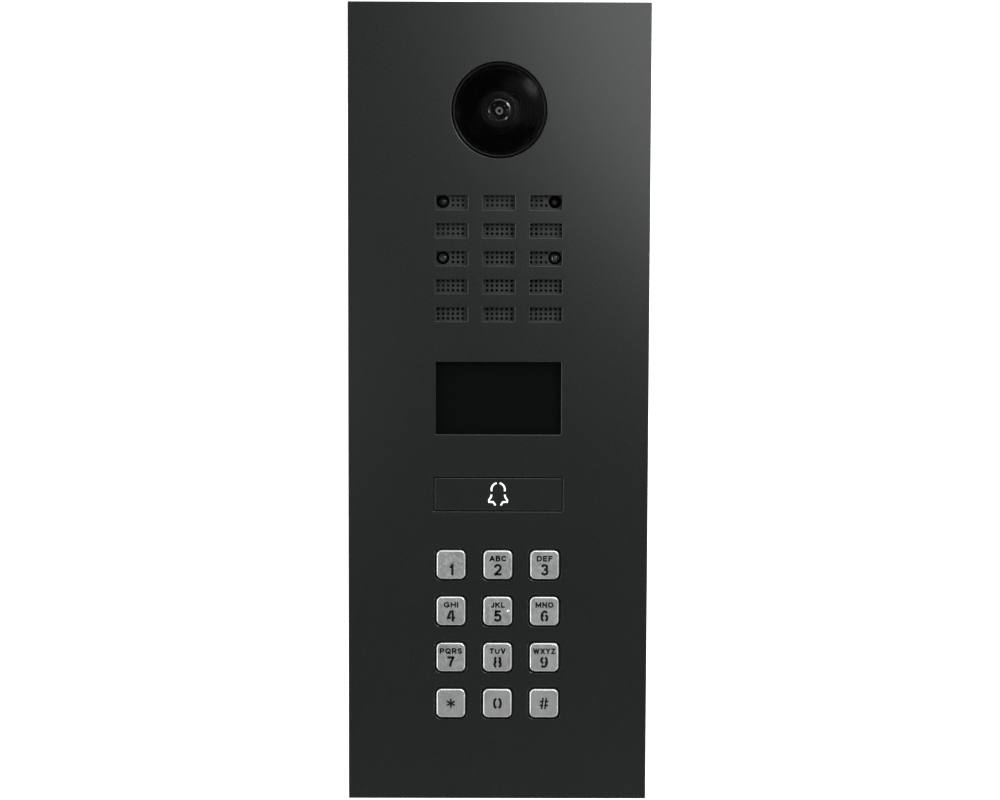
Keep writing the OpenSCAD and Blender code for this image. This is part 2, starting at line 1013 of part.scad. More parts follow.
module pan_screws() {
    color(steel) {
        for (c = camera_screws())
            pan_screw(c, camera_board_back);
        for (c = board_screws())
            pan_screw(c, main_board_back);
        for (c = cover_screws())
            pan_screw(c, cover_back);
    }
}

front_plate();
plate_studs();
stud_nuts();
perimeter_seal();
mounting_frame();
backbox();
cable_grommets();
cap_screws();
camera_dome();
camera_gasket();
camera_shroud();
lens_barrel();
lens_front_glass();
lens_lock_ring();
lens_mount();
image_sensor();
camera_board();
camera_bracket();
speaker_mesh();
speaker_gasket();
speaker_frame();
speaker_cone();
speaker_magnet();
sensor_board();
ir_leds();
light_sensor();
microphone();
microphone_boot();
display_gasket();
display_glass();
display_panel();
display_board();
call_button();
bell_light_guide();
button_carrier();
button_springs();
button_switches();
button_board();
key(0, 0);  // key_1
key(1, 0);  // key_2
key(2, 0);  // key_3
key(0, 1);  // key_4
key(1, 1, dot = true);  // key_5
key(2, 1);  // key_6
key(0, 2);  // key_7
key(1, 2);  // key_8
key(2, 2);  // key_9
key(0, 3);  // key_star
key(1, 3);  // key_0
key(2, 3);  // key_hash
keypad_mat();
keypad_board();
keypad_frame();
inner_chassis();
main_board();
terminal_block();
network_jack();
relays();
rear_cover();
pan_screws();
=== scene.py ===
"""Looks of the door intercom panel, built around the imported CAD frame.

Everything is in metres in the row frame: X is the width, Z is up, the front faces -Y and the
wall is at y = 0. A "depth" is the distance from the wall, so a depth d lies at y = -d.
"""

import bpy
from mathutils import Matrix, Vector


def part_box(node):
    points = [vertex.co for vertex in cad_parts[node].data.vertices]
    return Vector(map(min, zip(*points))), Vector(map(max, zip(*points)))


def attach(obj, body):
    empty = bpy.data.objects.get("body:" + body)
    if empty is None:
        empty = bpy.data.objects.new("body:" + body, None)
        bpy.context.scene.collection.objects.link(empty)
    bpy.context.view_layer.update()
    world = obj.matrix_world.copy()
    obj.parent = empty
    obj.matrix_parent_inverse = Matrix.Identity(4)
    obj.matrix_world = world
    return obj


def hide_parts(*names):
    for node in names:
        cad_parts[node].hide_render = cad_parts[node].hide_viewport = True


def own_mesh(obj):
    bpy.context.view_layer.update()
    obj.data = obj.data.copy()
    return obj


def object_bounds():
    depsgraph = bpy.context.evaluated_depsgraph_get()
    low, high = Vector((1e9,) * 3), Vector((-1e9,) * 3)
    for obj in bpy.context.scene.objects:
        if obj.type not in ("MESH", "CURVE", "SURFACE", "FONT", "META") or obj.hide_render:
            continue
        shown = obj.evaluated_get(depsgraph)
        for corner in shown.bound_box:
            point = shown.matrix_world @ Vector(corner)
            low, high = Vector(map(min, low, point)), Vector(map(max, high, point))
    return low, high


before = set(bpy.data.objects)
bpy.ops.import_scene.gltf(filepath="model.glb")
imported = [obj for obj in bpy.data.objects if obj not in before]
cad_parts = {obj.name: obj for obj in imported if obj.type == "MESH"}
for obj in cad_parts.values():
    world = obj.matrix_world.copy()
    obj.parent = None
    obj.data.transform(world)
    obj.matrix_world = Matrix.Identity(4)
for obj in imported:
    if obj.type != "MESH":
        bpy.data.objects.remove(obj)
cad_box = [list(corner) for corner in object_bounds()]

import math
import random

import bmesh
import bpy
from mathutils import Matrix, Vector

MM = 0.001
PANEL = "panel"
KEYS = ["key_" + mark for mark in "1 2 3 4 5 6 7 8 9 star 0 hash".split()]


# ---- places, read from the frame

class Box:
    """A CAD node's box: its sides, its centre and the depths of its back and front."""

    def __init__(self, node):
        lo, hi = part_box(node)
        self.left, self.right = lo[0], hi[0]
        self.bottom, self.top = lo[2], hi[2]
        self.front, self.back = -lo[1], -hi[1]
        self.x, self.z = (lo[0] + hi[0]) / 2, (lo[2] + hi[2]) / 2
        self.w, self.h = hi[0] - lo[0], hi[2] - lo[2]


PLATE_T = 3 * MM
PLATE_FRONT = Box("call_button").front
PLATE_BACK = PLATE_FRONT - PLATE_T
PLATE_W = cad_box[1][0] - cad_box[0][0]
PLATE_H = cad_box[1][2] - cad_box[0][2]


# ---- materials

# every material, under its own name
M = {}


def new_material(name, colour, rough, metallic=0.0, **sockets):
    """A material with a Principled shader; sockets holds its other plain values."""
    mat = bpy.data.materials.new(name)
    mat.use_nodes = True
    shader = shader_of(mat)
    shader.inputs["Base Color"].default_value = (*colour, 1)
    shader.inputs["Roughness"].default_value = rough
    shader.inputs["Metallic"].default_value = metallic
    for socket, value in sockets.items():
        shader.inputs[socket.replace("_", " ")].default_value = value
    M[name] = mat
    return mat


def shader_of(mat):
    return mat.node_tree.nodes["Principled BSDF"]


def add_node(mat, kind):
    return mat.node_tree.nodes.new(kind)


def link(mat, a, out, b, into):
    mat.node_tree.links.new(a.outputs[out], b.inputs[into])


def noise_source(mat, scale, detail=3.0, stretch=(1, 1, 1)):
    """A noise texture in the object's own space; stretch squeezes it along each axis."""
    coord = add_node(mat, "ShaderNodeTexCoord")
    mapping = add_node(mat, "ShaderNodeMapping")
    mapping.inputs["Scale"].default_value = stretch
    noise = add_node(mat, "ShaderNodeTexNoise")
    noise.inputs["Scale"].default_value = scale
    noise.inputs["Detail"].default_value = detail
    link(mat, coord, "Object", mapping, "Vector")
    link(mat, mapping, "Vector", noise, "Vector")
    return noise


def vary_colour(mat, noise, dark, light):
    """The base colour runs from dark to light with the noise."""
    ramp = add_node(mat, "ShaderNodeValToRGB")
    low, high = ramp.color_ramp.elements
    low.position, low.color = 0.35, (*dark, 1)
    high.position, high.color = 0.65, (*light, 1)
    link(mat, noise, "Fac", ramp, "Fac")
    link(mat, ramp, "Color", shader_of(mat), "Base Color")


def vary_roughness(mat, noise, low, high):
    """The roughness runs from low to high over the middle of the noise's range."""
    spread = add_node(mat, "ShaderNodeMapRange")
    ends = {"From Min": 0.3, "From Max": 0.7, "To Min": low, "To Max": high}
    for socket, value in ends.items():
        spread.inputs[socket].default_value = value
    link(mat, noise, "Fac", spread, "Value")
    link(mat, spread, "Result", shader_of(mat), "Roughness")


def add_bump(mat, source, distance, strength=1.0, out="Fac"):
    """A relief of the given depth, in metres, from a texture's output."""
    bump = add_node(mat, "ShaderNodeBump")
    bump.inputs["Strength"].default_value = strength
    bump.inputs["Distance"].default_value = distance
    link(mat, source, out, bump, "Height")
    link(mat, bump, "Normal", shader_of(mat), "Normal")


def powder_coat(name, colour, rough, grain=2600, relief=0.006 * MM):
    """Baked powder paint: a fine orange peel, with faint cloudy changes of shade."""
    mat = new_material(name, colour, rough)
    peel = noise_source(mat, grain, 4)
    add_bump(mat, peel, relief)
    cloud = noise_source(mat, 30, 3)
    vary_colour(mat, cloud, [c * 0.94 for c in colour], [c * 1.06 for c in colour])
    vary_roughness(mat, peel, rough - 0.03, rough + 0.04)


def satin_metal(name, colour, rough, stretch=(1, 1, 1), scale=900, relief=0.003 * MM):
    """Metal with a fine finish; stretch draws the grain out into brushing lines."""
    mat = new_material(name, colour, rough, 1.0)
    grain = noise_source(mat, scale, 5, stretch)
    vary_roughness(mat, grain, rough * 0.85, rough * 1.2)
    add_bump(mat, grain, relief)
    cloud = noise_source(mat, 120, 2)
    vary_colour(mat, cloud, [c * 0.93 for c in colour], [c * 1.04 for c in colour])


def moulded_plastic(name, colour, rough, relief=0.01 * MM):
    """Moulded plastic with a fine spark-eroded grain."""
    mat = new_material(name, colour, rough)
    grain = add_node(mat, "ShaderNodeTexVoronoi")
    grain.inputs["Scale"].default_value = 2200
    coord = add_node(mat, "ShaderNodeTexCoord")
    link(mat, coord, "Object", grain, "Vector")
    add_bump(mat, grain, relief, 0.6, "Distance")
    cloud = noise_source(mat, 60, 2)
    vary_colour(mat, cloud, [c * 0.85 for c in colour], [c * 1.15 for c in colour])
    vary_roughness(mat, cloud, rough - 0.04, rough + 0.05)


def rubber(name, colour):
    mat = new_material(name, colour, 0.72)
    dust = noise_source(mat, 350, 6)
    vary_colour(mat, dust, [c * 0.7 for c in colour], [c * 1.35 for c in colour])
    add_bump(mat, dust, 0.01 * MM)


def circuit_board(name, mask):
    """Solder mask over copper tracks, which are a brick pattern, a little raised."""
    mat = new_material(name, mask, 0.32, Coat_Weight=0.3)
    coord = add_node(mat, "ShaderNodeTexCoord")
    turn = add_node(mat, "ShaderNodeMapping")
    turn.inputs["Rotation"].default_value = (math.pi / 2, 0, 0)
    tracks = add_node(mat, "ShaderNodeTexBrick")
    tracks.inputs["Scale"].default_value = 260
    tracks.inputs["Mortar Size"].default_value = 0.06
    tracks.inputs["Color1"].default_value = (*mask, 1)
    tracks.inputs["Color2"].default_value = (*[c * 0.8 for c in mask], 1)
    tracks.inputs["Mortar"].default_value = (*[c * 1.7 + 0.01 for c in mask], 1)
    link(mat, coord, "Object", turn, "Vector")
    link(mat, turn, "Vector", tracks, "Vector")
    link(mat, tracks, "Color", shader_of(mat), "Base Color")
    add_bump(mat, tracks, 0.03 * MM)


def dark_glass(name, colour, alpha, rough=0.03, shine=0.5):
    """Tinted glass or clear plastic: what lies behind shows as far as alpha lets it, and shine
    is low where the face is coated against reflections."""
    mat = new_material(name, colour, rough, Alpha=alpha, Specular_IOR_Level=shine)
    smear = noise_source(mat, 90, 3)
    vary_roughness(mat, smear, rough, rough + 0.015)
    mat.surface_render_method = "BLENDED"


def lit_diffuser(name, colour, glow):
    mat = new_material(name, colour, 0.4, Emission_Strength=glow)
    shader_of(mat).inputs["Emission Color"].default_value = (*colour, 1)
    milk = noise_source(mat, 500, 2)
    vary_colour(mat, milk, [c * 0.96 for c in colour], colour)


powder_coat("plate_paint", (0.0024, 0.0038, 0.0034), 0.26, relief=0.0003 * MM)
powder_coat("mesh_paint", (0.021, 0.0235, 0.023), 0.5, relief=0.001 * MM)
powder_coat("box_steel", (0.02, 0.022, 0.02), 0.5, 1500, 0.02 * MM)
satin_metal("key_steel", (0.5, 0.51, 0.505), 0.36, relief=0.001 * MM)
satin_metal("zinc_steel", (0.55, 0.56, 0.58), 0.32)
satin_metal("frame_aluminium", (0.24, 0.245, 0.25), 0.42, (1, 1, 0.02), 700)
satin_metal("jack_shell", (0.70, 0.70, 0.71), 0.22)
new_material("legend", (0.004, 0.004, 0.004), 0.8, Specular_IOR_Level=0.1)
moulded_plastic("black_plastic", (0.012, 0.012, 0.013), 0.5)
new_material("lip_black", (0.001, 0.001, 0.001), 0.2, Specular_IOR_Level=0.16)
new_material("lens_black", (0.002, 0.002, 0.002), 0.25, Specular_IOR_Level=0.3)
new_material("flock_black", (0.0012, 0.0012, 0.0012), 1.0, Specular_IOR_Level=0.0)
new_material("dark_chrome", (0.12, 0.12, 0.124), 0.2, 1.0)
new_material("bright_ring", (0.9, 0.9, 0.9), 0.3, 1.0)
moulded_plastic("terminal_plastic", (0.02, 0.20, 0.06), 0.45)
moulded_plastic("relay_case", (0.02, 0.05, 0.22), 0.35)
moulded_plastic("chip_black", (0.02, 0.02, 0.022), 0.45)
moulded_plastic("ceramic", (0.32, 0.24, 0.16), 0.5)
moulded_plastic("cone_film", (0.015, 0.015, 0.015), 0.6)
rubber("rubber", (0.02, 0.02, 0.02))
rubber("silicone", (0.16, 0.165, 0.18))
circuit_board("circuit_board", (0.01, 0.09, 0.035))
circuit_board("black_board", (0.003, 0.0035, 0.0035))
dark_glass("dome_tint", (0.0003, 0.0004, 0.0004), 0.3, 0.13, 0.04)
dark_glass("display_tint", (0.002, 0.0024, 0.0024), 0.93, 0.03, 0.06)
dark_glass("lens_glass", (0.001, 0.0012, 0.002), 0.15, 0.01, 0.5)
dark_glass("led_tint", (0.005, 0.005, 0.0055), 0.62)
dark_glass("sensor_tint", (0.010, 0.011, 0.011), 0.9, 0.3, 0.3)
new_material("panel_face", (0.012, 0.013, 0.016), 0.25)
lit_diffuser("light_diffuser", (0.86, 0.87, 0.88), 0.5)
shader_of(M["mesh_paint"]).inputs["Specular IOR Level"].default_value = 0.15
vary_colour(M["panel_face"], noise_source(M["panel_face"], 4000, 0),
            (0.010, 0.011, 0.014), (0.014, 0.015, 0.019))

NODE_MATERIAL = {
    "plate_paint": ["front_plate", "call_button"],
    "key_steel": KEYS,
    "zinc_steel": ["plate_studs", "stud_nuts", "cap_screws", "pan_screws", "camera_bracket",
                   "speaker_magnet", "speaker_frame", "button_springs"],
    "box_steel": ["backbox"],
    "frame_aluminium": ["mounting_frame"],
    "mesh_paint": ["speaker_mesh"],
    "dome_tint": ["camera_dome"],
    "display_tint": ["display_glass"],
    "lens_glass": ["lens_front_glass"],
    "led_tint": ["ir_leds"],
    "sensor_tint": ["light_sensor"],
    "light_diffuser": ["bell_light_guide"],
    "black_plastic": ["microphone", "button_carrier", "button_switches", "keypad_frame",
                      "inner_chassis", "rear_cover", "camera_shroud"],
    "lens_black": ["lens_barrel", "lens_mount", "lens_lock_ring"],
    "flock_black": ["speaker_gasket", "microphone_boot"],
    "rubber": ["perimeter_seal", "cable_grommets", "camera_gasket", "display_gasket"],
    "silicone": ["keypad_mat"],
    "cone_film": ["speaker_cone"],
    "panel_face": ["display_panel", "image_sensor"],
    "black_board": ["camera_board", "sensor_board"],
    "circuit_board": ["display_board", "button_board", "keypad_board", "main_board"],
    "terminal_plastic": ["terminal_block"],
    "jack_shell": ["network_jack"],
    "relay_case": ["relays"],
}


# ---- mesh tools

def finish_mesh(obj, angle=32, weighted=True):
    """Smooth shading with sharp edges kept, and flat faces that stay flat."""
    mesh = obj.data
    mesh.polygons.foreach_set("use_smooth", [True] * len(mesh.polygons))
    mesh.set_sharp_from_angle(angle=math.radians(angle))
    if weighted:
        mod = obj.modifiers.new("flat_faces", "WEIGHTED_NORMAL")
        mod.keep_sharp = True


def linked(name, data):
    """A new object in the scene."""
    obj = bpy.data.objects.new(name, data)
    bpy.context.scene.collection.objects.link(obj)
    return obj


def evaluated_mesh(obj):
    """The mesh that a curve or an object's modifiers make."""
    bpy.context.view_layer.update()
    shown = obj.evaluated_get(bpy.context.evaluated_depsgraph_get())
    return bpy.data.meshes.new_from_object(shown)


def add_object(name, mesh, material):
    obj = linked(name, mesh)
    if not mesh.materials:
        mesh.materials.append(M[material])
    return obj


def mesh_from(name, verts, faces):
    mesh = bpy.data.meshes.new(name)
    mesh.from_pydata([tuple(v) for v in verts], [], faces)
    tidy_mesh(mesh)
    return mesh


def tidy_mesh(mesh, weld=1e-7):
    """Welds the mesh and turns its faces outwards."""
    bm = bmesh.new()
    bm.from_mesh(mesh)
    bmesh.ops.remove_doubles(bm, verts=bm.verts, dist=weld)
    bmesh.ops.dissolve_degenerate(bm, edges=bm.edges, dist=weld)
    bmesh.ops.recalc_face_normals(bm, faces=bm.faces)
    bm.to_mesh(mesh)
    bm.free()


def arc_points(cx, cz, r, start, end, steps=6):
    """Points on an arc, from one angle to another in degrees; in a lathe's profile the centre
    is a radius and a depth."""
    turn = [math.radians(start + (end - start) * i / steps) for i in range(steps + 1)]
    return [(cx + r * math.cos(a), cz + r * math.sin(a)) for a in turn]


def circle_loop(x, z, r, steps=96):
    return arc_points(x, z, r, 0, 360, steps)[:-1]


def rounded_loop(x, z, w, h, r, steps=8):
    """A rectangle with round corners."""
    points = []
    for cx, cz, start in ((1, 1, 0), (-1, 1, 90), (-1, -1, 180), (1, -1, 270)):
        centre = (x + cx * (w / 2 - r), z + cz * (h / 2 - r))
        points += arc_points(*centre, r, start, start + 90, steps)
    return points


def ribbon_loop(points, width):
    """The outline of a stroke of even width along some points, with mitred corners."""
    sides = ([], [])
    last = len(points) - 1
    for i, p in enumerate(points):
        here = Vector(p)
        runs = []
        if i > 0:
            runs.append((here - Vector(points[i - 1])).normalized())
        if i < last:
            runs.append((Vector(points[i + 1]) - here).normalized())
        along = sum(runs, Vector((0, 0))).normalized()
        reach = width / 2 / along.dot(runs[0])
        across = Vector((-along[1], along[0])) * reach
        sides[0].append(tuple(here + across))
        sides[1].append(tuple(here - across))
    return sides[0] + sides[1][::-1]


def slab_mesh(name, loops, back, front, edge, rounds=3):
    """A flat piece between two depths, from an outline and the loops of its holes, with every
    edge rounded by edge."""
    curve = bpy.data.curves.new(name, "CURVE")
    curve.dimensions = "2D"
    curve.fill_mode = "BOTH"
    curve.extrude = (front - back) / 2 - edge
    curve.bevel_depth = edge
    curve.offset = -edge
    curve.bevel_resolution = rounds
    for loop in loops:
        spline = curve.splines.new("POLY")
        spline.points.add(len(loop) - 1)
        for point, (x, z) in zip(spline.points, loop):
            point.co = (x, z, 0, 1)
        spline.use_cyclic_u = True
    holder = linked(name, curve)
    mesh = evaluated_mesh(holder)
    bpy.data.objects.remove(holder)
    bpy.data.curves.remove(curve)
    mesh.materials.clear()
    middle = Matrix.Translation((0, -(front + back) / 2, 0))
    mesh.transform(middle @ Matrix.Rotation(math.pi / 2, 4, "X"))
    tidy_mesh(mesh, 1e-6)
    return mesh


def box_mesh(name, lo, hi, edge=0.0, rounds=2):
    """A block between two corners, with its edges rounded by edge."""
    bm = bmesh.new()
    bmesh.ops.create_cube(bm, size=1)
    for v in bm.verts:
        v.co = Vector([lo[k] if v.co[k] < 0 else hi[k] for k in range(3)])
    if edge:
        bmesh.ops.bevel(bm, geom=bm.edges[:], offset=edge, segments=rounds, affect="EDGES",
                        profile=0.5)
    mesh = bpy.data.meshes.new(name)
    bm.to_mesh(mesh)
    bm.free()
    return mesh


def band(a, b, n):
    """The faces between rings number a and b, in a list of rings of n points each."""
    return [(a * n + i, a * n + (i + 1) % n, b * n + (i + 1) % n, b * n + i) for i in range(n)]


def lathe_mesh(name, profile, x, z, steps=96):
    """A closed profile of (radius, depth) points, turned about an axis along Y."""
    verts, faces = [], []
    n = len(profile)
    for s in range(steps):
        a = 2 * math.pi * s / steps
        for r, d in profile:
            verts.append((x + r * math.cos(a), -d, z + r * math.sin(a)))
    for s in range(steps):
        faces += band(s, (s + 1) % steps, n)
    return mesh_from(name, verts, faces)


def in_mm(points, depth=0.0):
    """A profile that is given in mm, moved out to a depth."""
    return [(r * MM, depth + d * MM) for r, d in points]


def tube_mesh(name, path, r, sides=10):
    """A round wire along a path, with flat ends."""
    verts, faces = [], []
    points = [Vector(p) for p in path]
    side = None
    for i, p in enumerate(points):
        ahead = points[min(i + 1, len(points) - 1)] - points[max(i - 1, 0)]
        ahead.normalize()
        if side is None:
            side = ahead.orthogonal().normalized()
        side = (side - ahead * side.dot(ahead)).normalized()
        up = ahead.cross(side)
        for k in range(sides):
            a = 2 * math.pi * k / sides
            verts.append(p + (side * math.cos(a) + up * math.sin(a)) * r)
    for i in range(len(points) - 1):
        faces += band(i, i + 1, sides)
    faces.append(tuple(range(sides)))
    faces.append(tuple((len(points) - 1) * sides + k for k in range(sides)))
    return mesh_from(name, verts, faces)


def joined(name, meshes):
    """Several meshes as one, which keeps each one's materials."""
    bm = bmesh.new()
    materials = []
    for mesh in meshes:
        start = len(bm.faces)
        bm.from_mesh(mesh)
        bm.faces.ensure_lookup_table()
        slots = list(mesh.materials) or [None]
        for face in bm.faces[start:]:
            mat = slots[min(face.material_index, len(slots) - 1)]
            if mat not in materials:
                materials.append(mat)
            face.material_index = materials.index(mat)
    out = bpy.data.meshes.new(name)
    bm.to_mesh(out)
    bm.free()
    for mat in materials:
        if mat is not None:
            out.materials.append(mat)
    for mesh in meshes:
        bpy.data.meshes.remove(mesh)
    return out


# the shading of clear and glossy pieces with curved faces
CURVED = {"angle": 50, "weighted": False}


def piece(name, mesh, material, body=PANEL, replaces=(), angle=32, weighted=True):
    """A finished piece of the object, from a mesh or a list of them; it rides on a body and may
    stand for CAD nodes."""
    if isinstance(mesh, list):
        mesh = joined(name, mesh)
    obj = add_object(name, mesh, material)
    finish_mesh(obj, angle, weighted)
    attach(obj, body)
    if replaces:
        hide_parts(*replaces)
    return obj


def turned(name, profile, node, material, steps=96, **how):
    """A finished piece that is turned about the axis of a node's box."""
    return piece(name, lathe_mesh(name, profile, node.x, node.z, steps), material, **how)


# ---- CAD nodes that stay

def dress_cad_nodes():
    """Every CAD node gets its material."""
    for material, nodes in NODE_MATERIAL.items():
        for node in nodes:
            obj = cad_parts[node]
            obj.data.materials.clear()
            obj.data.materials.append(M[material])


def round_edges(node, width):
    """Welds a CAD node's mesh and rounds its sharp edges, without changing the mesh itself."""
    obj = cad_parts[node]
    weld = obj.modifiers.new("weld", "WELD")
    weld.merge_threshold = 1e-6
    bevel = obj.modifiers.new("rounds", "BEVEL")
    bevel.width = width
    bevel.segments = 2
    bevel.limit_method = "ANGLE"
    bevel.angle_limit = math.radians(40)
    normals = obj.modifiers.new("flat_faces", "WEIGHTED_NORMAL")
    normals.keep_sharp = True


# ---- the front plate

# openings are (width, height, corner radius), and EDGE rounds the sheet's edges
GRILLE_X = (-20 * MM, 0, 20 * MM)
GRILLE_PITCH = 11.8 * MM
GRILLE_SLOT = (13.5 * MM, 6 * MM, 0.15 * MM)
CAMERA_HOLE_R = 20.25 * MM
WINDOW_MARGIN = (5.6 * MM, 6 * MM)
BUTTON_HOLE = (55.2 * MM, 14.8 * MM, 0.6 * MM)
KEY_HOLE = (14 * MM, 14 * MM, 2.95 * MM)
EDGE = 0.35 * MM

LOCK_X = 34 * MM
LOCK_BLOCK = (-155.6 * MM, -147.6 * MM)
LOCK_SCREW_R = 1.55 * MM
HOOK_W = 10 * MM
HOOK_BOTTOM, HOOK_ARM_TOP, HOOK_TIP_TOP = 152.5 * MM, 155.5 * MM, 158.8 * MM


def plate_holes():
    """The loops of every opening in the front plate."""
    dome, mesh = Box("camera_dome"), Box("speaker_mesh")
    loops = [circle_loop(dome.x, dome.z, CAMERA_HOLE_R, 128)]
    for x in GRILLE_X:
        for row in range(-2, 3):
            loops.append(rounded_loop(x, mesh.z + row * GRILLE_PITCH, *GRILLE_SLOT, 3))
    glass = Box("display_glass")
    loops.append(rounded_loop(glass.x, glass.z, glass.w - WINDOW_MARGIN[0],
                              glass.h - WINDOW_MARGIN[1], 0.2 * MM, 3))
    button = Box("bell_light_guide")
    loops.append(rounded_loop(0, button.z, *BUTTON_HOLE, 5))
    for name in KEYS:
        key = Box(name)
        loops.append(rounded_loop(key.x, key.z, *KEY_HOLE, 10))
    return loops


def lock_blocks_and_hooks():
    """The threaded blocks and the hooks that are welded to the back of the plate."""
    meshes = []
    frame_back = Box("mounting_frame").back
    hook_end, tip_start = -(frame_back - 2.8 * MM), -(frame_back - 0.4 * MM)
    low, high = LOCK_BLOCK
    on_end = Matrix(((1, 0, 0, 0), (0, 0, -1, 0), (0, -1, 0, low), (0, 0, 0, 1)))
    for x in (-LOCK_X, LOCK_X):
        middle = PLATE_BACK - 4 * MM
        loops = [rounded_loop(x, middle, 10 * MM, 8 * MM, 0.4 * MM, 3),
                 circle_loop(x, middle, LOCK_SCREW_R, 32)]
        block = slab_mesh("block", loops, 0, high - low, 0.2 * MM, 2)
        block.transform(on_end)
        tidy_mesh(block)
        left, right = x - HOOK_W / 2, x + HOOK_W / 2
        arm = box_mesh("arm", (left, -PLATE_BACK, HOOK_BOTTOM), (right, hook_end, HOOK_ARM_TOP),
                       0.3 * MM)
        tip = box_mesh("tip", (left, tip_start, HOOK_BOTTOM), (right, hook_end, HOOK_TIP_TOP),
                       0.3 * MM)
        meshes += [block, arm, tip]
    return meshes


def make_front_plate():
    outline = rounded_loop(0, 0, PLATE_W, PLATE_H, 0.3 * MM, 3)
    sheet = slab_mesh("sheet", [outline] + plate_holes(), PLATE_BACK, PLATE_FRONT, EDGE)
    piece("front_plate_painted", [sheet] + lock_blocks_and_hooks(), "plate_paint",
          replaces=["front_plate"])


# ---- the call button

# the bell's strokes, in mm about its centre: the lower edge of one side, and the crown's arc
BELL_STROKE = 0.7 * MM
BELL_EDGE = [(2.8, -0.15), (3.0, -1.1), (3.9, -2.5), (3.85, -3.3), (2.1, -3.3), (1.15, -4.7)]
BELL_CROWN = (0, 2.05, 2.85, -14, 76, 8)
BUTTON_EDGE = 0.28 * MM


def bell_loops(x, z, width):
    """The four strokes of the bell: a crown and a lower edge on each side."""
    loops = []
    for side in (1, -1):
        for points in (arc_points(*BELL_CROWN), BELL_EDGE):
            placed = [(x + side * px * MM, z + pz * MM) for px, pz in points]
            loops.append(ribbon_loop(placed, width))
    return loops


def make_call_button():
    guide = Box("bell_light_guide")
    button = Box("call_button")
    outline = rounded_loop(0, button.z, button.w, button.h, 0.3 * MM, 3)
    loops = [outline] + bell_loops(0, guide.z, BELL_STROKE)
    mesh = slab_mesh("call_button_face", loops, button.back, button.front, BUTTON_EDGE)
    piece("call_button_face", mesh, "plate_paint", "call_button", ["call_button"])
    base = slab_mesh("base", [rounded_loop(0, guide.z, guide.w, guide.h, 0.5 * MM, 4)],
                     guide.back, button.back, 0.15 * MM, 2)
    strokes = [prism_mesh(loop, button.back - 0.2 * MM, button.front - 0.1 * MM)
               for loop in bell_loops(0, guide.z, BELL_STROKE - 0.06 * MM)]
    piece("bell_guide", [base] + strokes, "light_diffuser", "call_button", ["bell_light_guide"])


def make_button_springs():
    """Two coil springs of round wire."""
    space = Box("button_springs")
    wire_r, coil_r, turns, steps = 0.22 * MM, 2.3 * MM, 4, 24
    back, front = space.back + wire_r, space.front - wire_r
    meshes = []
    for x in (space.left + 2.6 * MM, space.right - 2.6 * MM):
        path = []
        for i in range(turns * steps + 1):
            a = 2 * math.pi * i / steps
            d = back + (front - back) * i / (turns * steps)
            path.append((x + coil_r * math.cos(a), -d, space.z + coil_r * math.sin(a)))
        meshes.append(tube_mesh("coil", path, wire_r, 8))
    coils = piece("button_spring_coils", meshes, "zinc_steel", replaces=["button_springs"],
                  weighted=False)
    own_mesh(coils)


# ---- the keys

KEY_SIZE = 12.4 * MM
KEY_CORNER = 2.3 * MM
KEY_ROUND = 0.7 * MM
KEY_PROUD = 1 * MM
KEY_FLANGE_T = 1.4 * MM
DOT_X = 4.5 * MM
LEGEND_DEPTH = 0.3 * MM
DIGIT_Z = -2.1 * MM
LETTERS_Z = 2.7 * MM
LETTERS_H = 2.5 * MM

# for each key: its digit, the digit's width and height in mm, its letters, their width in mm
LEGENDS = dict(zip(KEYS, [
    ("1", 2.1, 5.0, "", 0), ("2", 3.3, 5.0, "ABC", 7.3), ("3", 3.3, 5.0, "DEF", 6.8),
    ("4", 3.6, 5.0, "GHI", 6.3), ("5", 3.3, 5.0, "JKL", 6.0), ("6", 3.4, 5.0, "MNO", 7.7),
    ("7", 3.2, 5.0, "PQRS", 9.6), ("8", 3.6, 5.0, "TUV", 7.0), ("9", 3.4, 5.0, "WXYZ", 9.6),
    ("*", 3.9, 3.9, "", 0), ("0", 3.8, 5.2, "", 0), ("#", 3.9, 5.0, "", 0),
]))
CENTRED = ("key_star", "key_0", "key_hash")
DIGIT_STROKE = 1.0 * MM
SYMBOL_STROKE = 0.75 * MM
LETTER_STROKE = 0.63 * MM
LETTER_GAP = 0.38 * MM


def mirrored(strokes):
    return [[(1 - x, y) for x, y in points] for points in strokes]


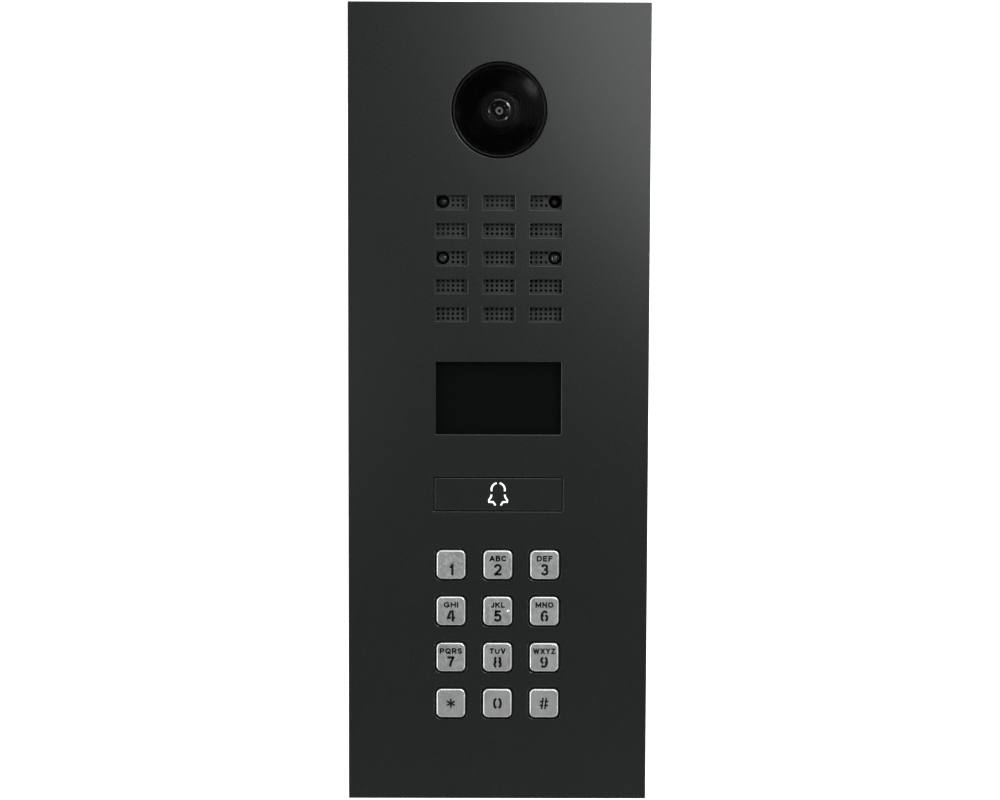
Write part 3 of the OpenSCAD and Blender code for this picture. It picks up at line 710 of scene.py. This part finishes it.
# Each character: its width beside its height, its straight strokes and its bent ones. A point
# runs from (0, 0), bottom left, to (1, 1), top right, along the middle of the strokes. The
# gaps of 4, 6, 8, 9, 0 and # are a stencil's.
BOWL_O = [[(.5, 1), (.13, .87), (0, .5), (.13, .13), (.5, 0)]]
SIX = [[(.38, 0), (.12, .1), (0, .4), (.08, .72), (.34, .95), (.7, .99), (.96, .83)],
       [(.03, .38), (.15, .53), (.38, .59)], [(.64, .59), (.91, .5), (1, .3), (.91, .1), (.64, 0)]]
EIGHT = [[(.3, 1), (.12, .93), (.07, .77), (.12, .61), (.3, .52)],
         [(.3, .54), (.08, .44), (0, .26), (.08, .08), (.3, 0)]]
ZERO = [[(.32, 1), (.1, .84), (0, .5), (.1, .16), (.32, 0)]]
GLYPHS = {
    "1": (0, [[(1, 0), (1, 1)]], [[(1, .98), (.6, .82), (0, .74)]]),
    "2": (0, [[(0, 0), (1, 0)]],
          [[(0, .72), (.12, .92), (.5, 1), (.88, .92), (1, .72), (.85, .5), (.4, .22), (.05, 0)]]),
    "3": (0, [], [[(.02, .78), (.2, .95), (.5, 1), (.83, .93), (.93, .76), (.8, .59), (.4, .53)],
                  [(.4, .53), (.84, .46), (1, .27), (.86, .07), (.5, 0), (.15, .05), (0, .22)]]),
    "4": (0, [[(.42, .96), (0, .3), (.32, .3)], [(.78, 0), (.78, 1)], [(.78, .3), (1, .3)]], []),
    "5": (0, [[(.9, 1), (.16, 1), (.08, .56)]],
          [[(.08, .53), (.5, .62), (.88, .52), (1, .3), (.86, .08), (.45, 0), (.13, .05),
            (0, .2)]]),
    "6": (0, [], SIX),
    "7": (0, [[(0, 1), (1, 1)]], [[(1, 1), (.7, .7), (.45, .35), (.35, 0)]]),
    "8": (0, [], EIGHT + mirrored(EIGHT)),
    "9": (0, [], [[(1 - x, 1 - y) for x, y in points] for points in SIX]),
    "0": (0, [], ZERO + mirrored(ZERO)),
    "*": (0, [[(.5, 0), (.5, 1)], [(.05, .25), (.95, .75)], [(.05, .75), (.95, .25)]], []),
    "#": (0, [[(.2, 0), (.36, 1)], [(.64, 0), (.8, 1)], [(0, .3), (.3, .3)],
              [(.62, .3), (.95, .3)], [(.05, .7), (.38, .7)], [(.7, .7), (1, .7)]], []),
    "A": (.95, [[(0, 0), (.5, 1), (1, 0)], [(.22, .3), (.78, .3)]], []),
    "B": (.8, [[(0, 0), (0, 1)]], [[(0, 1), (.55, 1), (.87, .9), (.87, .65), (.55, .54), (0, .54)],
                                   [(0, .54), (.6, .54), (1, .4), (1, .14), (.6, 0), (0, 0)]]),
    "C": (.9, [], [[(1, .75), (.8, .95), (.5, 1), (.15, .85), (0, .5), (.15, .15), (.5, 0),
                    (.8, .05), (1, .25)]]),
    "D": (.85, [[(0, 0), (0, 1)]],
          [[(0, 1), (.45, 1), (.87, .86), (1, .5), (.87, .14), (.45, 0), (0, 0)]]),
    "E": (.72, [[(1, 1), (0, 1), (0, 0), (1, 0)], [(0, .52), (.9, .52)]], []),
    "F": (.68, [[(1, 1), (0, 1), (0, 0)], [(0, .52), (.85, .52)]], []),
    "G": (.95, [[(.97, .1), (.97, .45), (.6, .45)]],
          [[(.95, .76), (.78, .95), (.5, 1), (.15, .85), (0, .5), (.15, .15), (.5, 0), (.78, .05),
            (.95, .22)]]),
    "H": (.85, [[(0, 0), (0, 1)], [(1, 0), (1, 1)], [(0, .52), (1, .52)]], []),
    "I": (.24, [[(.5, 0), (.5, 1)]], []),
    "J": (.62, [], [[(1, 1), (1, .3), (.85, .06), (.5, 0), (.15, .06), (0, .28)]]),
    "K": (.85, [[(0, 0), (0, 1)], [(1, 1), (0, .4)], [(.35, .6), (1, 0)]], []),
    "L": (.66, [[(0, 1), (0, 0), (1, 0)]], []),
    "M": (1.05, [[(0, 0), (0, 1), (.5, .2), (1, 1), (1, 0)]], []),
    "N": (.85, [[(0, 0), (0, 1), (1, 0), (1, 1)]], []),
    "O": (.98, [], BOWL_O + mirrored(BOWL_O)),
    "P": (.78, [[(0, 0), (0, 1)]], [[(0, 1), (.6, 1), (1, .88), (1, .59), (.6, .46), (0, .46)]]),
    "Q": (.98, [[(.62, .25), (1, -.04)]], BOWL_O + mirrored(BOWL_O)),
    "R": (.82, [[(0, 0), (0, 1)], [(.5, .46), (1, 0)]],
          [[(0, 1), (.6, 1), (.97, .88), (.97, .59), (.6, .46), (0, .46)]]),
    "S": (.8, [], [[(.95, .79), (.75, .97), (.45, 1), (.12, .92), (.08, .68), (.3, .56), (.7, .46),
                    (.98, .3), (.88, .07), (.5, 0), (.2, .04), (0, .22)]]),
    "T": (.8, [[(0, 1), (1, 1)], [(.5, 1), (.5, 0)]], []),
    "U": (.82, [], [[(0, 1), (0, .3), (.15, .06), (.5, 0), (.85, .06), (1, .3), (1, 1)]]),
    "V": (.9, [[(0, 1), (.5, 0), (1, 1)]], []),
    "W": (1.25, [[(0, 1), (.25, 0), (.5, .95), (.75, 0), (1, 1)]], []),
    "X": (.85, [[(0, 0), (1, 1)], [(0, 1), (1, 0)]], []),
    "Y": (.85, [[(0, 1), (.5, .48), (1, 1)], [(.5, .48), (.5, 0)]], []),
    "Z": (.8, [[(0, 1), (1, 1), (0, 0), (1, 0)]], []),
}


def bent(points, steps=5):
    """A smooth curve through some points."""
    ends = [Vector(points[0])] + [Vector(p) for p in points] + [Vector(points[-1])]
    out = []
    for a, b, c, d in zip(ends, ends[1:], ends[2:], ends[3:]):
        for i in range(steps):
            t = i / steps
            out.append(0.5 * (2 * b + (c - a) * t + (2 * a - 5 * b + 4 * c - d) * t ** 2
                              + (3 * b - a - 3 * c + d) * t ** 3))
    return [tuple(p) for p in out] + [tuple(points[-1])]


def glyph_loops(char, x, z, width, height, stroke):
    """The outlines of a character's strokes, with its lower left corner at (x, z)."""
    _, straight, curved = GLYPHS[char]

    def placed(points):
        return [Vector((x + stroke / 2 + px * (width - stroke),
                        z + stroke / 2 + pz * (height - stroke))) for px, pz in points]

    loops = [ribbon_loop(placed(bent(points)), stroke) for points in curved]
    for points in straight:
        corners = placed(points)
        for a, b in zip(corners, corners[1:]):
            reach = (b - a).normalized() * stroke * 0.45
            loops.append(ribbon_loop([a - reach, b + reach], stroke))
    return loops


def line_loops(text, x, z, width):
    """The outlines of a line of letters, spread over a width about (x, z)."""
    spare = width - LETTER_GAP * (len(text) - 1)
    em = spare / sum(GLYPHS[c][0] for c in text)
    loops, left = [], x - width / 2
    for c in text:
        w = GLYPHS[c][0] * em
        loops += glyph_loops(c, left, z - LETTERS_H / 2, max(w, LETTER_STROKE), LETTERS_H,
                             LETTER_STROKE)
        left += w + LETTER_GAP
    return loops


def prism_mesh(loop, back, front):
    """An outline carried from one depth to another."""
    n = len(loop)
    verts = [(x, -back, z) for x, z in loop] + [(x, -front, z) for x, z in loop]
    faces = [tuple(range(n)), tuple(range(n, 2 * n))] + band(0, 1, n)
    return mesh_from("prism", verts, faces)


def key_ring(x, z, inset, depth):
    """One ring of a key's cap: a rounded square, brought in by inset, with the same number of
    points at every inset."""
    size = KEY_SIZE - 2 * inset
    loop = rounded_loop(x, z, size, size, KEY_CORNER - inset)
    return [(px, -depth, pz) for px, pz in loop]


def key_cap_mesh(name, x, z, back, front):
    """The cap: straight sides, a wide round edge and a flat face."""
    side = front - KEY_ROUND
    rings = [key_ring(x, z, 0.25 * MM, back), key_ring(x, z, 0, back + 0.25 * MM)]
    for i in range(9):
        a = math.radians(90 * i / 8)
        rings.append(key_ring(x, z, KEY_ROUND * (1 - math.cos(a)), side + KEY_ROUND * math.sin(a)))
    verts = [v for ring in rings for v in ring]
    n = len(rings[0])
    faces = [tuple(range(n)), tuple(range(len(verts) - n, len(verts)))]
    for k in range(len(rings) - 1):
        faces += band(k, k + 1, n)
    return mesh_from(name, verts, faces)


def cut(target, cutter_mesh, material=None):
    """Takes one closed mesh out of an object; the new faces take the cutter's material."""
    if material and not cutter_mesh.materials:
        cutter_mesh.materials.append(M[material])
    cutter = linked("cutter", cutter_mesh)
    mod = target.modifiers.new("cut", "BOOLEAN")
    mod.operation = "DIFFERENCE"
    mod.solver = "EXACT"
    mod.use_self = True
    mod.material_mode = "TRANSFER"
    mod.object = cutter
    done = evaluated_mesh(target)
    target.modifiers.remove(mod)
    bpy.data.objects.remove(cutter)
    bpy.data.meshes.remove(cutter_mesh)
    target.data = done


def legend_cutter(name, x, z, front):
    """The solid that engraves a key's digit and letters."""
    digit, w, h, letters, letters_w = LEGENDS[name]
    middle = z if name in CENTRED else z + DIGIT_Z
    stroke = DIGIT_STROKE if digit.isdigit() else SYMBOL_STROKE
    loops = glyph_loops(digit, x - w * MM / 2, middle - h * MM / 2, w * MM, h * MM, stroke)
    if letters:
        loops += line_loops(letters, x, z + LETTERS_Z, letters_w * MM)
    return joined("cutter", [prism_mesh(loop, front - LEGEND_DEPTH, front + MM) for loop in loops])


def make_key(name):
    node = Box(name)
    front = PLATE_FRONT + KEY_PROUD
    flange_front = node.back + KEY_FLANGE_T
    cap = key_cap_mesh(name + "_cap", node.x, node.z, flange_front - 0.05 * MM, front)
    holder = add_object("cap", cap, "key_steel")
    cut(holder, legend_cutter(name, node.x, node.z, front), "legend")
    flange = slab_mesh("flange", [rounded_loop(node.x, node.z, node.w, node.h, 1 * MM, 6)],
                       node.back, flange_front, 0.15 * MM, 2)
    flange.materials.append(M["black_plastic"])
    meshes = [holder.data, flange]
    bpy.data.objects.remove(holder)
    if name == "key_5":
        dot = [(0, 0), (0.6, 0), (0.6, 0.1)] + [
            (0.6 * math.cos(math.radians(a)), 0.1 + 0.33 * math.sin(math.radians(a)))
            for a in range(15, 91, 15)]
        dot_mesh = lathe_mesh("dot", in_mm(dot, front - 0.08 * MM), node.x + DOT_X, node.z, 24)
        dot_mesh.materials.append(M["jack_shell"])
        meshes.append(dot_mesh)
    piece(name + "_cap", meshes, "key_steel", name, [name], 40)


# ---- the camera behind its dome

def cap_arc(sphere_r, centre, r_from, r_to, steps):
    """A stretch of a sphere's profile, between two radii."""
    a0, a1 = math.asin(r_from / sphere_r), math.asin(r_to / sphere_r)
    turn = [a0 + (a1 - a0) * i / steps for i in range(steps + 1)]
    return [(sphere_r * math.sin(a), centre + sphere_r * math.cos(a)) for a in turn]


def make_dome():
    """A shallow clear cap with a round edge, in a black base ring whose lip stands round it."""
    node = Box("camera_dome")
    edge_r, inner_r, rise, wall = 18.75 * MM, 17.25 * MM, 3.5 * MM, 1.5 * MM
    seat = PLATE_FRONT - 1.8 * MM
    sphere_r = (edge_r ** 2 + rise ** 2) / (2 * rise)
    centre = PLATE_FRONT + rise - sphere_r
    round_r = 0.5 * MM
    shoulder = edge_r - round_r
    top = centre + math.sqrt(sphere_r ** 2 - shoulder ** 2)
    cap = [(inner_r, seat), (edge_r, seat)]
    cap += arc_points(shoulder, top - round_r, round_r, 0, 72, 8)
    cap += cap_arc(sphere_r, centre, shoulder - 0.25 * MM, 0.01 * MM, 24)
    cap += cap_arc(sphere_r - wall, centre, 0.01 * MM, inner_r, 24)
    turned("camera_dome_glass", cap, node, "dome_tint", 128, replaces=["camera_dome"], **CURVED)
    flange_front = node.back + 2 * MM
    lip_in, lip_out, lip_front = 18.85 * MM, 20 * MM, PLATE_FRONT + 0.2 * MM
    ring = [(inner_r, node.back), (node.w / 2, node.back), (node.w / 2, flange_front),
            (lip_out, flange_front), (lip_out, lip_front - 0.5 * MM),
            (lip_out - 0.3 * MM, lip_front)]
    ring += arc_points(lip_in + 0.35 * MM, lip_front - 0.35 * MM, 0.35 * MM, 90, 180, 8)
    ring += [(lip_in, seat - 0.05 * MM), (inner_r, seat - 0.05 * MM)]
    turned("camera_dome_base", ring, node, "lip_black", 128, **CURVED)


def make_shroud():
    """The black funnel between the dome and the lens, stepped inside against stray light."""
    node = Box("camera_shroud")
    outer, inner = node.w / 2, 9.9 * MM
    profile = [(inner, node.back), (outer, node.back), (outer, node.front),
               (outer - 1 * MM, node.front)]
    steps = 5
    low = node.front - 2.3 * MM
    for i in range(steps):
        r = outer - 1 * MM + (inner - outer + 1 * MM) * (i + 1) / steps
        d0 = node.front - (node.front - low) * i / steps
        d1 = node.front - (node.front - low) * (i + 1) / steps
        profile += [(r + 0.15 * MM, d0 - 0.1 * MM), (r, d1)]
    turned("camera_shroud_stepped", profile, node, "flock_black", replaces=["camera_shroud"])


def make_lens():
    """The barrel with its threaded neck and ringed nose, the front glass and what shows in it."""
    node = Box("lens_barrel")
    nose = node.front
    head, neck, seat, stop = 7.5 * MM, 6 * MM, 5.2 * MM, 2.6 * MM
    shoulder = PLATE_BACK - 1 * MM
    profile = [(stop, node.back), (neck, node.back)]
    pitch = 0.5 * MM
    turns = int((shoulder - node.back - 1 * MM) / pitch)
    for i in range(turns):
        d = node.back + 0.4 * MM + i * pitch
        profile += [(neck, d), (neck - 0.25 * MM, d + pitch / 2)]
    profile += [(neck, shoulder - 0.3 * MM), (neck, shoulder), (head, shoulder)]
    profile += arc_points(head - 0.4 * MM, nose - 0.4 * MM, 0.4 * MM, 0, 90)
    profile += [(6.5 * MM, nose), (6.4 * MM, nose - 0.3 * MM),
                (5.9 * MM, nose - 0.3 * MM), (5.8 * MM, nose)]
    profile += arc_points(seat + 0.25 * MM, nose - 0.25 * MM, 0.25 * MM, 90, 180, 4)
    profile += [(seat, nose - 2.5 * MM), (3.6 * MM, nose - 2.9 * MM),
                (stop, nose - 3.5 * MM)]
    turned("lens_barrel_turned", profile, node, "lens_black", replaces=["lens_barrel"])

    glass = Box("lens_front_glass")
    r, rim = glass.w / 2, 0.8 * MM
    sag = glass.front - glass.back - rim
    curve_r = (r * r + sag * sag) / (2 * sag)
    face = [(0, glass.back), (r, glass.back)]
    face += cap_arc(curve_r, glass.back + rim + sag - curve_r, r * 0.999, 0, 20)
    turned("lens_front_element", face, glass, "lens_glass", replaces=["lens_front_glass"],
           **CURVED)
    bezel = [(r + 0.02 * MM, nose - 1.2 * MM), (r + 0.02 * MM, nose - 0.8 * MM),
             (r - 1.1 * MM, nose - 0.34 * MM), (r - 1.3 * MM, nose - 1.2 * MM)]
    turned("lens_retaining_ring", bezel, glass, "dark_chrome", **CURVED)


def make_lens_iris():
    """The inner rings that show through the front glass: a stop ring and a bright iris."""
    barrel = Box("lens_barrel")
    depth = barrel.front - 3.6 * MM
    stop = [(1.6, 0), (2.6, 0), (2.6, -0.5), (2.3, -0.7), (1.7, -0.3)]
    turned("lens_stop_ring", in_mm(stop, depth), barrel, "lens_black", 64)
    iris = [(0.7, 0), (1.75, 0), (1.75, 0.3), (1.65, 0.4), (0.8, 0.4), (0.7, 0.3)]
    turned("lens_iris", in_mm(iris, depth - 0.6 * MM), barrel, "bright_ring", 64)


# ---- lamps behind the grille

LAMP_R = 2.5 * MM
LAMP_COLLAR = 0.4 * MM


def lamp_mesh(name, x, z, back, front):
    """A round lamp body with a collar and a domed tip."""
    r, collar_r = LAMP_R, LAMP_R + LAMP_COLLAR
    profile = [(0, back), (collar_r, back), (collar_r, back + 0.9 * MM), (r, back + 1 * MM)]
    profile += arc_points(0, front - r, r, 0, 90, 12)
    return lathe_mesh(name, profile, x, z, 48)


def cup_mesh(name, x, z, depth, r_in, r_out, rise):
    """A small dished ring: the reflector round a lamp's or a sensor's die."""
    profile = [(r_in, depth), (r_out, depth + rise), (r_out + 0.15 * MM, depth + rise),
               (r_out + 0.15 * MM, depth - 0.3 * MM), (0, depth - 0.3 * MM), (0, depth)]
    return lathe_mesh(name, profile, x, z, 32)


def make_lamps():
    """Two infrared lamps, each with its reflector cup and die inside a smoked lens."""
    node = Box("ir_leds")
    lenses, cups, dies = [], [], []
    for x in (node.left + LAMP_R + LAMP_COLLAR, node.right - LAMP_R - LAMP_COLLAR):
        lenses.append(lamp_mesh("lens", x, node.z, node.back, node.front))
        depth = node.front - 2.6 * MM
        cups.append(cup_mesh("cup", x, node.z, depth, 0.5 * MM, 1.5 * MM, 0.9 * MM))
        dies.append(box_mesh("die", (x - 0.3 * MM, -depth - 0.3 * MM, node.z - 0.3 * MM),
                             (x + 0.3 * MM, -depth, node.z + 0.3 * MM)))
    piece("ir_led_lenses", lenses, "led_tint", replaces=["ir_leds"], **CURVED)
    piece("ir_led_cups", cups, "jack_shell")
    piece("ir_led_dies", dies, "dark_chrome")


def make_light_sensor():
    node = Box("light_sensor")
    mesh = lamp_mesh("light_sensor_lens", node.x, node.z, node.back, node.front)
    piece("light_sensor_lens", mesh, "sensor_tint", replaces=["light_sensor"], **CURVED)
    depth = node.front - 2.2 * MM
    mesh = cup_mesh("light_sensor_pad", node.x, node.z, depth, 0.7 * MM, 0.9 * MM, 0.1 * MM)
    piece("light_sensor_pad", mesh, "rubber")


# ---- the keypad's silicone mat

MAT_FOOT_R = 4.8 * MM
MAT_TOP_T = 0.8 * MM


def make_keypad_mat():
    """A sheet with twelve holes, and a dome in each, centred on its own key."""
    mat, frame_box = Box("keypad_mat"), Box("keypad_frame")
    foot_r, sheet_front = MAT_FOOT_R, frame_box.back
    holes = [circle_loop(Box(k).x, Box(k).z, foot_r - 0.4 * MM, 40) for k in KEYS]
    loops = [rounded_loop(mat.x, mat.z, mat.w, mat.h, 2 * MM, 8)] + holes
    sheet = slab_mesh("keypad_mat_sheet", loops, mat.back, sheet_front, 0.1 * MM, 1)
    piece("keypad_mat_sheet", sheet, "silicone", replaces=["keypad_mat"])
    for name in KEYS:
        key = Box(name)
        top = mat.front
        profile = [(foot_r - 0.9 * MM, mat.back), (foot_r, mat.back), (foot_r, sheet_front)]
        profile += [(4.3 * MM, sheet_front + 0.35 * MM), (3.75 * MM, top - 0.6 * MM)]
        profile += arc_points(3.0 * MM, top - 0.35 * MM, 0.35 * MM, 20, 90, 4)
        profile += [(0.001 * MM, top), (0.001 * MM, top - MAT_TOP_T), (2.8 * MM, top - MAT_TOP_T)]
        dome = turned("mat_dome_" + name, profile, key, "silicone", 40)
        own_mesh(dome)


# ---- parts on the circuit boards

# board: which face carries them, and its large parts as (x, z, width, height, thickness) in mm
# about the board's centre
BOARD_PARTS = {
    "camera_board": ("back", [(0, 4, 10, 10, 1.1), (-9, -5, 5, 3, 1), (2, -9, 12, 3.6, 1.6)]),
    "sensor_board": ("back", [(-14, 17, 5, 4, 1), (12, 17, 10, 3.6, 1.6)]),
    "display_board": ("back", [(-12, 3, 9, 9, 1.1), (10, -6, 14, 3.6, 1.6), (10, 8, 5, 4, 1)]),
    "button_board": ("back", [(-17, 0, 10, 3.6, 1.6), (14, 1, 5, 4, 1)]),
    "keypad_board": ("back", [(0, 30, 14, 3.6, 1.6), (-14, 6, 7, 7, 1.1), (12, -14, 5, 6, 1)]),
    "main_board": ("front", [(-10, 40, 14, 14, 1.2), (12, 38, 9, 12, 1), (-14, 0, 8, 8, 1.1),
                             (12, -30, 12, 6, 1.2), (-12, -48, 6, 6, 1.4)]),
}


# small parts: how many places are tried on each board, their thickness, and their sizes in mm
SMALL_TRIES = 40
SMALL_T = 0.6 * MM
SMALL_SIZES = [(1.6, 0.8), (0.8, 1.6), (2, 1.25), (1.25, 2)]
SMALL_REACH_X = 21 * MM


def make_board_parts():
    """Chips, connectors and small parts scattered at random over every circuit board."""
    draw = random.Random(12)
    for node, (side, large) in BOARD_PARTS.items():
        board = Box(node)
        face, out = (board.front, 1) if side == "front" else (board.back, -1)
        meshes, taken = [], []

        def place(x, z, w, h, t, material):
            depths = sorted((face, face + out * t))
            mesh = box_mesh("part", (x - w / 2, -depths[1], z - h / 2),
                            (x + w / 2, -depths[0], z + h / 2), min(t, w, h) * 0.12, 1)
            mesh.materials.append(M[material])
            meshes.append(mesh)
            taken.append((x, z, w / 2 + MM, h / 2 + MM))

        if node == "sensor_board":
            speaker = Box("speaker_frame")
            taken.append((speaker.x, speaker.z, speaker.w / 2, speaker.h / 2))
        for x, z, w, h, t in large:
            place(board.x + x * MM, board.z + z * MM, w * MM, h * MM, t * MM, "chip_black")
        margin = 7 * MM if node == "camera_board" else 4 * MM
        reach_x, reach_z = min(board.w / 2 - margin, SMALL_REACH_X), board.h / 2 - margin
        for _ in range(SMALL_TRIES):
            x = board.x + draw.uniform(-reach_x, reach_x)
            z = board.z + draw.uniform(-reach_z, reach_z)
            w, h = draw.choice(SMALL_SIZES)
            if all(abs(x - a) > c + MM or abs(z - b) > d + MM for a, b, c, d in taken):
                place(x, z, w * MM, h * MM, SMALL_T, draw.choice(["ceramic", "chip_black"]))
        piece(node + "_parts", meshes, "chip_black", weighted=False)


# ---- the wall box's knockouts

KNOCKOUT_Z = (-100 * MM, 0, 100 * MM)
KNOCKOUT_X = (-28 * MM, 28 * MM)


def knockout_mesh(x, y, z, angle, axis):
    """A knockout of the steel box, a pressed ring and its disc, turned to face outwards."""
    ring = [(8.6, 0), (10.6, 0), (10.4, 0.25), (10.1, 0.3), (9.1, 0.3), (8.8, 0.25)]
    disc = [(0, 0), (7.6, 0), (7.4, 0.2), (0, 0.2)]
    mesh = joined("knockout", [lathe_mesh("ring", in_mm(ring), 0, 0, 64),
                               lathe_mesh("disc", in_mm(disc), 0, 0, 64)])
    mesh.transform(Matrix.Translation((x, y, z)) @ Matrix.Rotation(math.radians(angle), 4, axis))
    return mesh


def make_knockouts():
    """Cable knockouts in the box's four side walls."""
    box = Box("backbox")
    middle_y = -(box.back + box.front) / 2
    meshes = []
    for z in KNOCKOUT_Z:
        meshes += [knockout_mesh(box.left, middle_y, z, -90, "Z"),
                   knockout_mesh(box.right, middle_y, z, 90, "Z")]
    for x in KNOCKOUT_X:
        meshes += [knockout_mesh(x, middle_y, box.top, -90, "X"),
                   knockout_mesh(x, middle_y, box.bottom, 90, "X")]
    piece("box_knockouts", meshes, "box_steel")


# ---- stage, lights, camera

def softbox(name, place, target, size, radiance, shape="RECTANGLE"):
    """An area light; its radiance is what a mirror would show of it."""
    data = bpy.data.lights.new(name, "AREA")
    data.shape = shape
    data.size, data.size_y = size
    area = size[0] * size[1] * (math.pi / 4 if shape == "ELLIPSE" else 1)
    data.energy = radiance * math.pi * area
    obj = linked(name, data)
    obj.location = place
    obj.rotation_mode = "QUATERNION"
    obj.rotation_quaternion = (Vector(target) - Vector(place)).to_track_quat("-Z", "Y")
    obj.visible_camera = False


def plain_stage_material(name, colour, glow=0.0):
    mat = new_material(name, colour, 0.8, Emission_Strength=glow)
    shader_of(mat).inputs["Emission Color"].default_value = (1, 1, 1, 1)
    return mat


def stage_plane(name, corners, material):
    mesh = bpy.data.meshes.new(name)
    mesh.from_pydata(corners, [], [(0, 1, 2, 3)])
    mesh.materials.append(material)
    linked(name, mesh)


def make_stage():
    floor_z, wall_y, half = -0.64, 1.6, 4.0
    pale = plain_stage_material("pale_floor", (0.5, 0.5, 0.5))
    white = plain_stage_material("white_backdrop", (0.9, 0.9, 0.9), 1.0)
    stage_plane("floor", [(-half, -half, floor_z), (half, -half, floor_z), (half, wall_y, floor_z),
                          (-half, wall_y, floor_z)], pale)
    stage_plane("backdrop", [(-half, wall_y, floor_z), (half, wall_y, floor_z),
                             (half, wall_y, half), (-half, wall_y, half)], white)


def make_lights():
    """A large disc at the upper right and a small one at the left for the plate and the keys,
    strips for their edges, three small ones for the glints in the lens, and one behind."""
    world = bpy.data.worlds.new("studio")
    world.use_nodes = True
    sky = world.node_tree.nodes["Background"]
    sky.inputs["Color"].default_value = (1, 1, 1, 1)
    sky.inputs["Strength"].default_value = 0.24
    bpy.context.scene.world = world
    lens = (0, -PLATE_FRONT, Box("camera_dome").z)
    centre = (0, 0, 0)
    softbox("main_right", (0.35, -0.645, 0.34), (0.35, 0, 0.34), (0.68, 0.68), 3.0, "ELLIPSE")
    softbox("near_left", (-0.24, -0.645, -0.03), (0, 0, -0.09), (0.26, 0.26), 0.6, "ELLIPSE")
    softbox("strip_right", (0.9, -0.5, 0), centre, (0.5, 1.6), 0.9)
    softbox("strip_left", (-0.9, -0.5, 0), centre, (0.5, 1.6), 5.0)
    softbox("strip_top", (0, -0.5, 1.0), centre, (1.6, 0.5), 4.5)
    softbox("glint_right", (0.65, -0.9, 0.67), lens, (0.34, 0.34), 26, "ELLIPSE")
    softbox("glint_left", (-0.85, -0.9, 0.13), lens, (0.2, 0.2), 13, "ELLIPSE")
    softbox("glint_low", (0.6, -0.9, -0.45), lens, (0.2, 0.2), 16, "ELLIPSE")
    softbox("back_fill", (0.6, 1.3, 0.9), centre, (0.9, 0.9), 3)


def make_camera():
    """The camera stands a little above and left of the plate's middle and looks slightly down."""
    data = bpy.data.cameras.new("camera")
    data.lens, data.sensor_width = 70, 36
    data.clip_start, data.clip_end = 0.01, 20
    cam = linked("camera", data)
    eye = Vector((-0.0042, -0.8706, 0.0588))
    pitch, yaw, roll = math.radians(-3.909), math.radians(-0.338), math.radians(0.197)
    turn = Matrix.Rotation(yaw, 4, "Z") @ Matrix.Rotation(math.pi / 2 + pitch, 4, "X")
    cam.matrix_world = Matrix.Translation(eye) @ turn @ Matrix.Rotation(roll, 4, "Z")
    bpy.context.scene.camera = cam
    bpy.context.scene.view_settings.view_transform = "Standard"


dress_cad_nodes()
make_camera()
make_stage()
make_lights()
make_front_plate()
make_call_button()
make_button_springs()
for key_name in KEYS:
    make_key(key_name)
make_dome()
make_shroud()
make_lens()
make_lens_iris()
make_lamps()
make_light_sensor()
make_keypad_mat()
make_knockouts()
make_board_parts()
for cad_node in ("mounting_frame", "backbox", "rear_cover", "inner_chassis"):
    round_edges(cad_node, 0.25 * MM)

bpy.context.view_layer.update()
